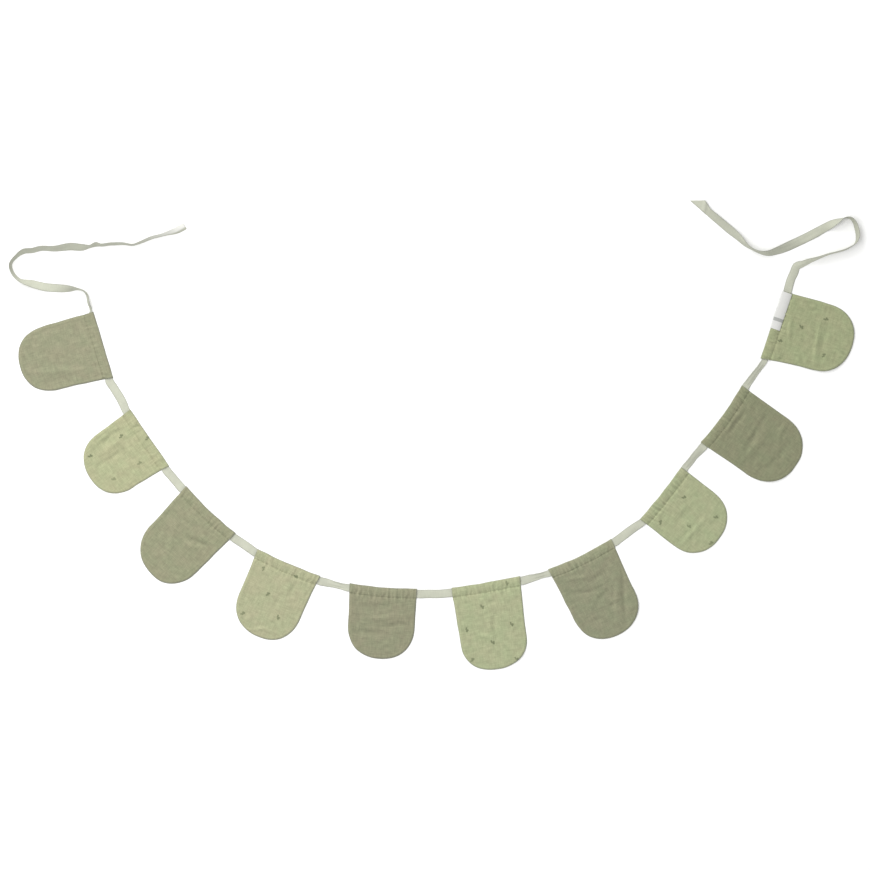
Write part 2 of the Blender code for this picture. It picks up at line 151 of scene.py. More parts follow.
LIFTS = [
    Lift(6, 112, 150, 26, 1.8),
    Lift(7, 122, 128, 30, 2.4),
    Lift(9, 20, 150, 30, 1.6),
    Lift(9, 118, 130, 26, 1.4),
    Lift(10, 20, 128, 34, 2.6),
    Lift(10, 100, 146, 30, 1.6),
]

# The muslin's own unevenness, from broad waves to small crinkles: each wave's size along and down
# the flag, and its height.
Crumple = namedtuple("Crumple", "along down rise")
CRUMPLES = [
    Crumple(34.0, 30.0, 0.50),
    Crumple(15.0, 13.0, 0.40),
    Crumple(7.0, 6.0, 0.24),
    Crumple(3.6, 3.2, 0.10),
    Crumple(4.2, 20.0, 0.17),
    Crumple(20.0, 4.2, 0.18),
]

# Steps of the mesh across and down a flag, and closer ones in from its edges. Its lowest row
# turns into its sides where the hem's arch stands at these angles.
ACROSS_STEP = 1.7
DOWN_STEP = 2.1
EDGE_STEPS = np.array([0.0, 0.25, 0.7, 1.4, 2.4, 3.8])
CORNER_ANGLES = np.array([135.0, 45.0])
SIDE_POINTS = 60
HEM_POINTS = 240
# The seam allowance inside the sewn edge lifts the cloth, and ends a little way in.
ALLOWANCE_IN = 4.5
ALLOWANCE_FADE = 2.5
ALLOWANCE_RISE = 0.45
# The sewn edge is round, and the cloth rises from it to its crown.
RIM_HEIGHT = 0.75
RIM_ROUND = 1.5
RIM_SHARE = 0.35
CROWN_ROUND = 4.6
THINNEST = 1.0
MOUTH_DROP = 0.3
MOUTH_ROUND = 1.2
GATHER_START = 3.0
# Gathers along the seam: a regular share and an uneven one, slanted here and there. Their
# strength varies along the seam, and they fade out up the casing and down the flag.
PUCKER_RISE = 1.4
PUCKER_LOWEST = -0.6
PUCKER_PITCH = 7.2
PUCKER_EVEN = 0.3
PUCKER_UNEVEN = 0.8
PUCKER_SLANT = 4.0
SLANT_SIZES = (12.0, 9.0)
PUCKER_STRENGTH = 0.8
PUCKER_VARIES = 0.4
VARY_SIZE = 20.0
CASING_SHARE = 0.35
FADE_UP = 8.0
FADE_DOWN = 5.0
# Folds wander, are lower at their ends, and fade out towards the flag's edge and the seam.
FOLD_DEPTH = 2.6
FOLD_WIDTH = 0.85
FOLD_WANDER = 2.0
WANDER_SIZE = 16.0
FOLD_ENDS = 0.35
FOLD_FADE = 10.0
FOLD_LEAST = 0.15
SEAM_SETTLE = 2.0
# Painted shade in hollows and painted light on raised places follow how far each place stands above the
# places within RELIEF_REACH rows round it, held within RELIEF_LIMIT.
RELIEF_REACH = 3
RELIEF_LIMIT = 0.9
# The painted shade along the sewn edge reaches further on the side that faces away from the window.
LEE_SIDE = (0.66, -0.75)
RIM_LEE = 0.6


def waves(s, d, across, down, seed):
    """Smooth random heights from -1 to 1 over a grid of across by down; each use has its seed."""
    size = 64
    shift = 20
    grid = np.random.default_rng(seed).uniform(-1, 1, (size, size))
    u = s / across + shift
    v = d / down + shift
    i = np.floor(u).astype(int)
    j = np.floor(v).astype(int)
    fu = (u - i) ** 2 * (3 - 2 * (u - i))
    fv = (v - j) ** 2 * (3 - 2 * (v - j))
    near = grid[i % size, j % size] * (1 - fu) + grid[(i + 1) % size, j % size] * fu
    far = grid[i % size, (j + 1) % size] * (1 - fu) + grid[(i + 1) % size, (j + 1) % size] * fu
    return near * (1 - fv) + far * fv


def turned(flag, s, d):
    """A direction on a flag, as x and y."""
    turn = math.radians(flag.heading)
    return s * math.cos(turn) + d * math.sin(turn), s * math.sin(turn) - d * math.cos(turn)


def place(flag, s, d):
    """The x and y, in millimetres, of a place s along a flag's casing and d down the flag."""
    s, d = np.broadcast_arrays(np.asarray(s, float), np.asarray(d, float))
    short, long = WAVER_SIZES
    middle = 4 * (s / flag.width) * (1 - s / flag.width)
    down = d + flag.bow * middle * np.maximum(1 - d / BOW_FADE, 0.0)
    down = down + EDGE_WAVER * waves(s, d, short, long, 10 + flag.number)
    along = s + EDGE_WAVER * waves(s, d, long, short, 30 + flag.number)
    x, y = turned(flag, along, down)
    return flag.x + x, flag.y + y


def side_places(flag, d):
    """Where the left and right side stand at depth d, down to the shoulder."""
    eased = 1 - (1 - np.minimum(d / flag.shoulder, 1.0)) ** SIDE_EASE
    return flag.left * eased, flag.width + (flag.right - flag.width) * eased


def hem_places(flag, angles):
    """Points of the round hem; 180 degrees is the left shoulder and 0 the right one."""
    turns = np.radians(angles)
    across = np.abs(np.cos(turns)) ** (2 / HEM_POWER)
    down = np.sin(turns) ** (2 / HEM_POWER)
    reach = np.where(np.cos(turns) < 0, flag.left - flag.apex, flag.right - flag.apex)
    s = flag.apex + reach * across
    d = flag.shoulder + (flag.drop - flag.shoulder) * down
    return np.stack([s, d], axis=1)


def points_on(line, shares):
    """Points at the given shares of a line's length."""
    steps = np.hypot(*np.diff(line, axis=0).T)
    far = np.concatenate([[0.0], np.cumsum(steps)])
    return np.stack([np.interp(shares * far[-1], far, line[:, k]) for k in (0, 1)], axis=1)


def sewn_edge(flag, top):
    """The left side, hem and right side of a flag below depth top, as one line of points."""
    depths = np.linspace(top, flag.shoulder, SIDE_POINTS)
    left, right = side_places(flag, depths)
    hem = hem_places(flag, np.linspace(180, 0, HEM_POINTS))
    return np.concatenate([np.stack([left, depths], axis=1)[:-1], hem,
                           np.stack([right, depths], axis=1)[::-1][1:]])


def spaced(length, step, near, far):
    """Shares of a length at even steps, with closer ones given at its near and far end."""
    even = np.linspace(near[-1], length - far[-1], round((length - near[-1] - far[-1]) / step) + 1)
    return np.concatenate([near[:-1], even, length - far[-2::-1]]) / length


def body_places(flag, shares):
    """Rows of places that fill a flag below its casing, bent to the sides and the hem."""
    edge = sewn_edge(flag, CASING_FOOT)
    corners = hem_places(flag, CORNER_ANGLES)
    near = [np.argmin(np.hypot(*(edge - corner).T)) for corner in corners]
    left = edge[:near[0] + 1]
    hem = edge[near[0]:near[1] + 1]
    right = edge[near[1]:][::-1]
    depth = flag.drop - CASING_FOOT
    rows = spaced(depth, DOWN_STEP, np.array([0.0]), EDGE_STEPS)
    top = np.stack([np.interp(shares, [0, 1], [edge[0, 0], edge[-1, 0]]),
                    np.full(len(shares), CASING_FOOT)], axis=1)
    low = points_on(hem, shares)
    sides = [points_on(line, rows) for line in (left, right)]
    u = shares[None, :, None]
    v = rows[:, None, None]
    return ((1 - v) * top[None] + v * low[None] + (1 - u) * sides[0][:, None] + u * sides[1][:, None]
            - (1 - u) * (1 - v) * top[0] - u * (1 - v) * top[-1]
            - (1 - u) * v * low[0] - u * v * low[-1])


def rounded(inward, radius):
    """From 0 at an edge to 1 at a radius inside it, as a quarter circle."""
    return np.sin(np.clip(inward / radius, 0, 1) * math.pi / 2)


def puckers(flag, s, d):
    """Gathers that the seam's thread draws into the casing and into the cloth below it."""
    seed = 100 + flag.number
    level = np.zeros_like(s)
    slanted = s + PUCKER_SLANT * waves(s, d, *SLANT_SIZES, seed + 25)
    even = np.sin(slanted * 2 * math.pi / PUCKER_PITCH)
    uneven = waves(slanted, level, PUCKER_PITCH / 2, 1.0, seed)
    strength = PUCKER_STRENGTH + PUCKER_VARIES * waves(s, level, VARY_SIZE, 1.0, seed + 50)
    up = CASING_SHARE + (1 - CASING_SHARE) * np.exp(-np.maximum(SEAM_DEPTH - d, 0) / FADE_UP)
    down = np.exp(-np.maximum(d - SEAM_DEPTH, 0) / FADE_DOWN)
    gathers = PUCKER_EVEN * even + PUCKER_UNEVEN * uneven
    return np.maximum(PUCKER_RISE * flag.gather * gathers * strength * up * down, PUCKER_LOWEST)


def line_share(s, d, start, line):
    """How far along a line each place lies, from 0 to 1, and how far from the line it is."""
    share = ((s - start[0]) * line[0] + (d - start[1]) * line[1]) / (line @ line)
    held = np.clip(share, 0, 1)
    return held, np.hypot(s - start[0] - held * line[0], d - start[1] - held * line[1])


def fold_heights(flag, s, d):
    """The flag's soft folds, which fade out towards their ends and wander a little."""
    seed = 200 + 3 * flag.number
    warped_s = s + FOLD_WANDER * waves(s, d, WANDER_SIZE, WANDER_SIZE, seed)
    warped_d = d + FOLD_WANDER * waves(s, d, WANDER_SIZE, WANDER_SIZE, seed + 1)
    total = np.zeros_like(s)
    for fold in FOLDS:
        if fold.flag == flag.number:
            line = np.array([fold.s2 - fold.s1, fold.d2 - fold.d1], float)
            share, away = line_share(warped_s, warped_d, (fold.s1, fold.d1), line)
            ends = FOLD_ENDS + (1 - FOLD_ENDS) * np.sin(math.pi * share)
            total += FOLD_DEPTH * fold.rise * ends * np.exp(-(away / (FOLD_WIDTH * fold.spread)) ** 2)
    return total


def crumple(flag, s, d):
    """The muslin's own unevenness."""
    seed = 300 + 7 * flag.number
    return sum(wave.rise * waves(s, d, wave.along, wave.down, seed + number)
               for number, wave in enumerate(CRUMPLES))


def lift_heights(flag, s, d):
    """How far both layers stand off the surface."""
    total = np.zeros_like(s)
    for lift in LIFTS:
        if lift.flag == flag.number:
            away = np.hypot(s - lift.s, d - lift.d)
            total += lift.rise * np.exp(-(away / lift.spread) ** 2)
    return total


def leeward(flag, s, d):
    """How far a direction on a flag points away from the window, from -1 to 1."""
    x, y = turned(flag, s, d)
    return (x * LEE_SIDE[0] + y * LEE_SIDE[1]) / math.hypot(s, d)


def rim_distance(flag, s, d):
    """How far each place is inside the sewn edge, and how far that edge is to leeward."""
    edge = sewn_edge(flag, 0.0)
    best = np.full(s.shape, 1e9)
    lee = np.zeros(s.shape)
    for start, line in zip(edge, np.diff(edge, axis=0)):
        away = line_share(s, d, start, line)[1]
        lee[away < best] = leeward(flag, -line[1], line[0])
        best = np.minimum(best, away)
    lee[d < best] = leeward(flag, 0.0, -1.0)
    return best, lee


def above_mean(heights):
    """How far each place of a grid stands above the mean of the places round it."""
    rows, columns = heights.shape
    window = 2 * RELIEF_REACH + 1
    padded = np.pad(heights, RELIEF_REACH, mode="edge")
    total = sum(padded[i:i + rows, j:j + columns] for i in range(window) for j in range(window))
    return np.clip(heights - total / window ** 2, -RELIEF_LIMIT, RELIEF_LIMIT)


def body_faces(flag, s, d):
    """A flag's upper and lower heights, its depth in the rim for the painted edge shade, and its relief.
    """
    rim, lee = rim_distance(flag, s, d)
    # For the painted shade along the sewn edge, each place counts as nearer the edge on the side away
    # from the window.
    inside = np.minimum(rim, d) / (1 + RIM_LEE * lee)
    allowance = 1 - rounded(rim - ALLOWANCE_IN, ALLOWANCE_FADE)
    below = d - SEAM_DEPTH
    fade = np.clip(rim / FOLD_FADE, 0, 1) * np.clip(below / FOLD_FADE, FOLD_LEAST, 1)
    settle = np.clip(below / SEAM_SETTLE, 0, 1)
    full = np.interp(d, [row.d for row in SEAM], [row.top for row in SEAM])
    full = full + settle * ALLOWANCE_RISE * allowance
    full = full + fade * (fold_heights(flag, s, d) + crumple(flag, s, d)) + puckers(flag, s, d)
    lift = lift_heights(flag, s, d)
    crown = RIM_SHARE * rounded(rim, RIM_ROUND) + (1 - RIM_SHARE) * rounded(rim, CROWN_ROUND)
    top = RIM_HEIGHT + (np.maximum(full, THINNEST) - RIM_HEIGHT) * crown
    low = RIM_HEIGHT * (1 - rounded(rim, RIM_ROUND))
    return top + lift, low + lift, inside, above_mean(full)


def put(name, data):
    """An object in the scene, made from a mesh, a lamp or a camera."""
    made = bpy.data.objects.new(name, data)
    bpy.context.scene.collection.objects.link(made)
    return made


def set_values(mesh, name, kind, values):
    """Give a mesh's points one more value each, for its material to read."""
    slot = "vector" if kind == "FLOAT_VECTOR" else "value"
    stored = mesh.attributes.new(name, kind, "POINT")
    stored.data.foreach_set(slot, np.asarray(values, np.float32).ravel())


def cloth_piece(name, points, faces, cloth):
    """A mesh object from points in millimetres, with each point's place on the flat cloth."""
    mesh = bpy.data.meshes.new(name)
    mesh.from_pydata((np.asarray(points) * MM).tolist(), [], faces)
    shell = bmesh.new()
    shell.from_mesh(mesh)
    bmesh.ops.recalc_face_normals(shell, faces=shell.faces)
    shell.to_mesh(mesh)
    shell.free()
    set_values(mesh, "cloth", "FLOAT_VECTOR", cloth)
    mesh.shade_smooth()
    return put(name, mesh)


def strip(first, second, turn=1):
    """Faces between two equally long rows of point numbers, running round one way or the other."""
    return [[first[k], first[k + 1], second[k + 1], second[k]][::turn] for k in range(len(first) - 1)]


def flag_piece(flag):
    """One flag: body, rounded sewn edge, and the casing with its open tunnel."""
    shares = spaced(flag.width, ACROSS_STEP, EDGE_STEPS, EDGE_STEPS)
    casing_d = np.array([[row.d] for row in CASING + SEAM[:-1]])
    left, right = side_places(flag, casing_d)
    body = body_places(flag, shares)
    s = np.concatenate([left + shares * (right - left), body[..., 0]])
    d = np.concatenate([np.repeat(casing_d, len(shares), axis=1), body[..., 1]])
    top, low, inside, relief = body_faces(flag, s, d)
    drop = MOUTH_DROP * (1 - rounded(np.minimum(s - s[:, :1], s[:, -1:] - s), MOUTH_ROUND))
    gathers = puckers(flag, s, d) * np.clip(d / GATHER_START, 0, 1)
    for row, line in enumerate(CASING):
        top[row] = line.top + gathers[row] - drop[row]
        low[row] = line.low + drop[row] / 4
    table = []

    def add(*grids):
        """Add a point for each place of the grids, and return the points' numbers."""
        first = len(table)
        table.extend(np.stack([grid.ravel() for grid in grids], axis=1).tolist())
        return np.arange(first, len(table)).reshape(grids[0].shape)

    # The two layers share the top fold, the lowest row and, below the casing, both sewn sides.
    last = len(CASING) - 1
    grids = [*place(flag, s, d), low, s, d, inside, relief]
    upper = add(*grids[:2], top, *grids[3:])
    loose = np.ones(s.shape, bool)
    loose[[0, -1]] = False
    loose[last:, [0, -1]] = False
    lower = upper.copy()
    lower[loose] = add(*(grid[loose] for grid in grids))
    # The tunnel's roof and floor share their first and last row.
    tunnel_s, plain = s[:last + 1], np.zeros((last + 1, len(shares)))
    inner_d, roof_z, floor_z = (plain + np.array(values)[:, None] for values in
                                zip(*((row.inner_d, row.roof, row.floor) for row in CASING)))
    roof_z[1:last] += gathers[1:last]
    grids = [*place(flag, tunnel_s, inner_d), floor_z, tunnel_s, inner_d, inside[:last + 1], plain]
    roof = add(*grids[:2], roof_z, *grids[3:])
    floor = roof.copy()
    floor[1:last] = add(*(grid[1:last] for grid in grids))
    # The layers' faces turn opposite ways, so that a shared corner isn't split alike in both.
    faces = []
    for sheet, turn in ((upper, -1), (lower, 1), (roof, 1), (floor, -1)):
        for first, second in zip(sheet, sheet[1:]):
            faces += strip(first, second, turn)
    for side, turn in ((0, 1), (-1, -1)):
        faces += strip(upper[:last + 1, side], roof[:, side], turn)
        faces += strip(lower[:last + 1, side], floor[:, side], -turn)
    table = np.array(table)
    piece = cloth_piece("muslin_flag_%d" % flag.number, table[:, :3], faces, table[:, 3:6])
    # Each point's relief, which the material turns into painted shade in hollows and painted light on
    # raised places.
    set_values(piece.data, "relief", "FLOAT", table[:, 6])
    return piece


# The muslin's finish: crossed threads with slubs, a slow drift of tone, and a small sprig printed here
# and there on the leaf flags, all laid out on the flat cloth in millimetres; with painted shade in
# hollows and along the sewn edge, and painted light on raised places. A texture doesn't change along a
# direction where its size is UNCHANGING.
UNCHANGING = 900.0
THREAD = 0.75
THREAD_WOBBLE = 2.4
WOBBLE_SIZE = 9.0
SLUB_LONG = 16.0
SLUB_WIDE = 1.3
CRINKLE_SIZES = (3.4, 2.8, UNCHANGING)
# How much the weave, the slubs and the crinkles count in the tone and in the height.
WEAVE_TONE = 0.06
WEAVE_HEIGHT = 0.16
SLUB_HEIGHT = 0.7
CRINKLE_HEIGHT = 1.4
DRIFT_SIZE = 26.0
DRIFT_SPAN = (0.35, 0.65)
PATCH_SIZES = (9.0, 7.0, UNCHANGING)
# How far the threads of one flag are shifted from those of the flag before it.
FLAG_SHIFT = (11.3, 7.7)
# Each flag's colour. The same cloth is darker from flag 1 towards flag 10: partly painted shade standing
# in for the light's fall-off across the layout, and partly the flags' own differing tone.
CLOTH_TONES = {
    1: (0.242, 0.242, 0.157), 2: (0.337, 0.346, 0.208),
    3: (0.242, 0.244, 0.155), 4: (0.334, 0.339, 0.212),
    5: (0.228, 0.228, 0.148), 6: (0.326, 0.348, 0.210),
    7: (0.222, 0.227, 0.146), 8: (0.315, 0.340, 0.202),
    9: (0.206, 0.213, 0.130), 10: (0.288, 0.311, 0.179),
}
PRINT_GREEN = (0.130, 0.148, 0.078, 1.0)
WARM_TINT = (1.022, 0.992, 0.992, 1.0)
COOL_TINT = (0.978, 1.008, 0.975, 1.0)
# How much the threads and slow patches change the tone, and how strongly raised places get painted light
# and hollows painted shade.
THREAD_TONE = 0.55
PATCH_TONE = 0.32
RELIEF_PAINTED_SHADING = 0.20
CASING_TONE_FADE = 2.5
# Painted shade along the sewn edge, where the cloth's rounded side turns from the light: its colour,
# width and fall-off.
RIM_PAINTED_SHADE = (0.125, 0.130, 0.118, 1.0)
RIM_WIDTH = 2.4
RIM_FADE = 1.6
MUSLIN_ROUGH = 0.9
TONE_ROUGH = -0.1
# Each printed sprig's middle and turn on its flag, and how strong its ink still is.
Sprig = namedtuple("Sprig", "flag s d turn ink")
SPRIGS = [
    Sprig(2, 30, 41, 115, 0.9), Sprig(2, 30, 8, 85, 0.4), Sprig(2, 60, 4, 105, 0.8),
    Sprig(2, 28, 107, 75, 0.9), Sprig(2, 89, 41, 95, 0.7), Sprig(2, 86, 96, 65, 0.6),
    Sprig(4, 23, 28, 103, 0.7), Sprig(4, 83, 17, -2, 0.9), Sprig(4, 49, 67, 68, 0.8),
    Sprig(4, 21, 117, 53, 0.8), Sprig(4, 82, 98, -57, 0.8),
    Sprig(6, 49, 42, -50, 0.8), Sprig(6, 15, 79, -80, 0.9), Sprig(6, 96, 83, -55, 0.9),
    Sprig(6, 57, 109, -43, 0.9), Sprig(6, 15, 134, 40, 0.8), Sprig(6, 94, 146, -40, 0.8),
    Sprig(6, 100, 8, -70, 0.7),
    Sprig(8, 80, 37, -32, 0.9), Sprig(8, 18, 32, 38, 0.9), Sprig(8, 45, 77, -77, 0.7),
    Sprig(8, 88, 105, -47, 0.8), Sprig(8, 46, 127, -12, 0.8),
    Sprig(10, 104, 89, -67, 0.9), Sprig(10, 77, 52, -112, 0.9), Sprig(10, 41, 23, -72, 0.9),
    Sprig(10, 41, 106, -12, 0.9), Sprig(10, 10, 31, -52, 0.4),
]
# A sprig's stem, and its leaves: their middle along and beside it, turn, and half sizes.
SPRIG_LONG = 9.4
STEM_HALF = 0.65
PRINT_EDGE = 1.5
Leaf = namedtuple("Leaf", "along side turn long wide")
LEAVES = [
    Leaf(2.3, 0.8, 20, 3.1, 2.8),
    Leaf(1.2, -1.3, -34, 2.7, 2.4),
    Leaf(-1.3, 0.9, 30, 2.6, 2.3),
    Leaf(-3.2, -0.4, -14, 2.3, 2.0),
]


def link_or_set(tree, value, socket):
    """Link an output to a socket, or set the socket to a plain value."""
    if isinstance(value, bpy.types.NodeSocket):
        tree.links.new(value, socket)
    else:
        socket.default_value = value


def wire(tree, kind, inputs=None, **settings):
    """Add a node, set it up, and link or fill its inputs."""
    made = tree.nodes.new(kind)
    for name, value in settings.items():
        setattr(made, name, value)
    for name, value in (inputs or {}).items():
        link_or_set(tree, value, made.inputs[name])
    return made


def maths(tree, operation, first, second=0.0, third=0.0, clamp=False):
    """The result of one Math node."""
    return wire(tree, "ShaderNodeMath", {0: first, 1: second, 2: third},
                operation=operation, use_clamp=clamp).outputs[0]


def ramp(tree, value, span, ends=(0.0, 1.0)):
    """A value's way through a span, held at both ends."""
    return wire(tree, "ShaderNodeMapRange", {"Value": value, "From Min": span[0], "From Max": span[1],
                                             "To Min": ends[0], "To Max": ends[1]}).outputs[0]


def noise(tree, vector, sizes, offset=(0.0, 0.0, 0.0), detail=2.0, roughness=0.5):
    """The value, from 0 to 1, of a noise texture whose spots have the given sizes."""
    scale = tuple(1 / size for size in sizes)
    moved = wire(tree, "ShaderNodeMapping", {"Vector": vector, "Location": offset, "Scale": scale})
    return wire(tree, "ShaderNodeTexNoise", {"Vector": moved.outputs[0], "Scale": 1.0, "Detail": detail,
                                             "Roughness": roughness}).outputs["Fac"]


def ribs(tree, value, pitch):
    """Even ribs, from -1 to 1, one in each pitch of a value."""
    return maths(tree, "SINE", maths(tree, "MULTIPLY", value, 2 * math.pi / pitch))


def centred(tree, value):
    """A value from 0 to 1 as one from -0.5 to 0.5."""
    return maths(tree, "SUBTRACT", value, 0.5)


def new_group(name, inputs, outputs):
    """A node group with named inputs and outputs; returns its tree, input node and output node."""
    tree = bpy.data.node_groups.new(name, "ShaderNodeTree")
    for labels, side in ((inputs, "INPUT"), (outputs, "OUTPUT")):
        for label in labels:
            kind = "NodeSocketVector" if label == "Place" else "NodeSocketFloat"
            tree.interface.new_socket(label, in_out=side, socket_type=kind)
    return tree, tree.nodes.new("NodeGroupInput"), tree.nodes.new("NodeGroupOutput")


def make_thread_group():
    """Plain weave: fine crossed threads, slubs both ways, and small crinkles."""
    tree, given, out = new_group("woven threads", ["Place"], ["Tone", "Height"])
    spot = given.outputs["Place"]
    weft = noise(tree, spot, (SLUB_LONG, SLUB_WIDE, UNCHANGING), detail=3.0, roughness=0.6)
    warp = noise(tree, spot, (SLUB_WIDE, SLUB_LONG, UNCHANGING), offset=(3.7, 8.1, 0.0),
                 detail=3.0, roughness=0.6)
    slub = maths(tree, "ADD", centred(tree, weft), centred(tree, warp))
    wobble = noise(tree, spot, (WOBBLE_SIZE, WOBBLE_SIZE, UNCHANGING))
    split = wire(tree, "ShaderNodeSeparateXYZ", {"Vector": spot})
    crossed = []
    for axis in ("X", "Y"):
        moved = maths(tree, "MULTIPLY_ADD", wobble, THREAD_WOBBLE, split.outputs[axis])
        crossed.append(ribs(tree, moved, THREAD))
    weave = maths(tree, "MULTIPLY", *crossed)
    crinkle = noise(tree, spot, CRINKLE_SIZES, offset=(5.2, 1.4, 0.0), roughness=0.55)
    tone = maths(tree, "MULTIPLY_ADD", weave, WEAVE_TONE, slub)
    height = maths(tree, "MULTIPLY_ADD", weave, WEAVE_HEIGHT, maths(tree, "MULTIPLY", slub, SLUB_HEIGHT))
    height = maths(tree, "MULTIPLY_ADD", centred(tree, crinkle), CRINKLE_HEIGHT, height)
    tree.links.new(tone, out.inputs["Tone"])
    tree.links.new(height, out.inputs["Height"])
    return tree


def make_sprig_group():
    """A printed sprig as a mask: a stem, two leaves near its tip and two further down."""
    tree, given, out = new_group("printed sprig", ["Place", "S", "D", "Turn"], ["Mask"])
    centre = wire(tree, "ShaderNodeCombineXYZ", {"X": given.outputs["S"], "Y": given.outputs["D"]})
    moved = wire(tree, "ShaderNodeVectorMath", {0: given.outputs["Place"], 1: centre.outputs[0]},
                 operation="SUBTRACT")
    laid = wire(tree, "ShaderNodeVectorRotate",
                {"Vector": moved.outputs[0], "Angle": given.outputs["Turn"]}, rotation_type="Z_AXIS")
    split = wire(tree, "ShaderNodeSeparateXYZ", {"Vector": laid.outputs[0]})
    lengthwise = split.outputs["X"]
    aside = split.outputs["Y"]
    stem = maths(tree, "SUBTRACT", 1.0, maths(tree, "DIVIDE", maths(tree, "ABSOLUTE", aside), STEM_HALF))
    reach = maths(tree, "SUBTRACT", SPRIG_LONG / 2, maths(tree, "ABSOLUTE", lengthwise))
    mask = maths(tree, "MINIMUM", stem, reach)
    for leaf in LEAVES:
        turn = math.radians(leaf.turn)
        out_x = maths(tree, "SUBTRACT", lengthwise, leaf.along)
        out_y = maths(tree, "SUBTRACT", aside, leaf.side)
        far = maths(tree, "ADD", maths(tree, "MULTIPLY", out_x, math.cos(turn) / leaf.long),
                    maths(tree, "MULTIPLY", out_y, math.sin(turn) / leaf.long))
        wide = maths(tree, "SUBTRACT", maths(tree, "MULTIPLY", out_y, math.cos(turn) / leaf.wide),
                     maths(tree, "MULTIPLY", out_x, math.sin(turn) / leaf.wide))
        across = maths(tree, "ADD", maths(tree, "MULTIPLY", far, far), maths(tree, "ABSOLUTE", wide))
        mask = maths(tree, "MAXIMUM", mask, maths(tree, "SUBTRACT", 1.0, across))
    tree.links.new(maths(tree, "MULTIPLY", mask, PRINT_EDGE, clamp=True), out.inputs["Mask"])
    return tree


def make_rim_group():
    """A mask of painted shade along a cloth's turned or woven edge, strongest at the edge."""
    tree, given, out = new_group("painted edge shade", ["Inside", "Width", "Strength"], ["Mask"])
    share = maths(tree, "DIVIDE", given.outputs["Inside"], given.outputs["Width"], clamp=True)
    fade = maths(tree, "POWER", maths(tree, "SUBTRACT", 1.0, share), RIM_FADE)
    tree.links.new(maths(tree, "MULTIPLY", fade, given.outputs["Strength"]), out.inputs["Mask"])
    return tree


THREADS = make_thread_group()
SPRIG = make_sprig_group()
EDGE = make_rim_group()


def mixed_colour(tree, factor, first, second, blend="MIX"):
    """One colour laid over another."""
    return wire(tree, "ShaderNodeMix", {0: factor, 6: first, 7: second},
                data_type="RGBA", blend_type=blend).outputs[2]


def tinted(tree, colour, tone, amount):
    """A colour made lighter or darker by a tone that is 0 in the middle."""
    factor = maths(tree, "MULTIPLY_ADD", tone, amount, 1.0)
    grey = wire(tree, "ShaderNodeCombineColor", {"Red": factor, "Green": factor, "Blue": factor})
    return mixed_colour(tree, 1.0, colour, grey.outputs[0], "MULTIPLY")


def edge_shaded(tree, base, inside, width, strength, shade):
    """A cloth's colour, with painted shade laid along its edge."""
    edge = wire(tree, "ShaderNodeGroup", {"Inside": inside, "Width": width, "Strength": strength},
                node_tree=EDGE)
    return mixed_colour(tree, edge.outputs["Mask"], base, shade)


def measured(tree, name):
    """The values that set_values gave to a mesh."""
    return wire(tree, "ShaderNodeAttribute", attribute_name=name, attribute_type="GEOMETRY")


# Cloth's faint shine, and how rough its fuzz is.
CLOTH_SHINE = 0.25
FUZZ_ROUGH = 0.6


def start_material(name, fuzz):
    """A cloth material; returns it, its tree, its shader and the place on the flat cloth."""
    material = bpy.data.materials.new(name)
    material.use_nodes = True
    tree = material.node_tree
    shader = tree.nodes["Principled BSDF"]
    shader.inputs["Metallic"].default_value = 0.0
    shader.inputs["Specular IOR Level"].default_value = CLOTH_SHINE
    shader.inputs["Sheen Weight"].default_value = fuzz
    shader.inputs["Sheen Roughness"].default_value = FUZZ_ROUGH
    return material, tree, shader, measured(tree, "cloth").outputs["Vector"]


def end_material(tree, shader, base, rough, height, strength, deep):
    """Connect a cloth's colour, roughness and relief, which is deep millimetres deep."""
    bump = wire(tree, "ShaderNodeBump", {"Height": height, "Strength": strength, "Distance": deep * MM})
    tree.links.new(base, shader.inputs["Base Color"])
    tree.links.new(bump.outputs["Normal"], shader.inputs["Normal"])
    link_or_set(tree, rough, shader.inputs["Roughness"])


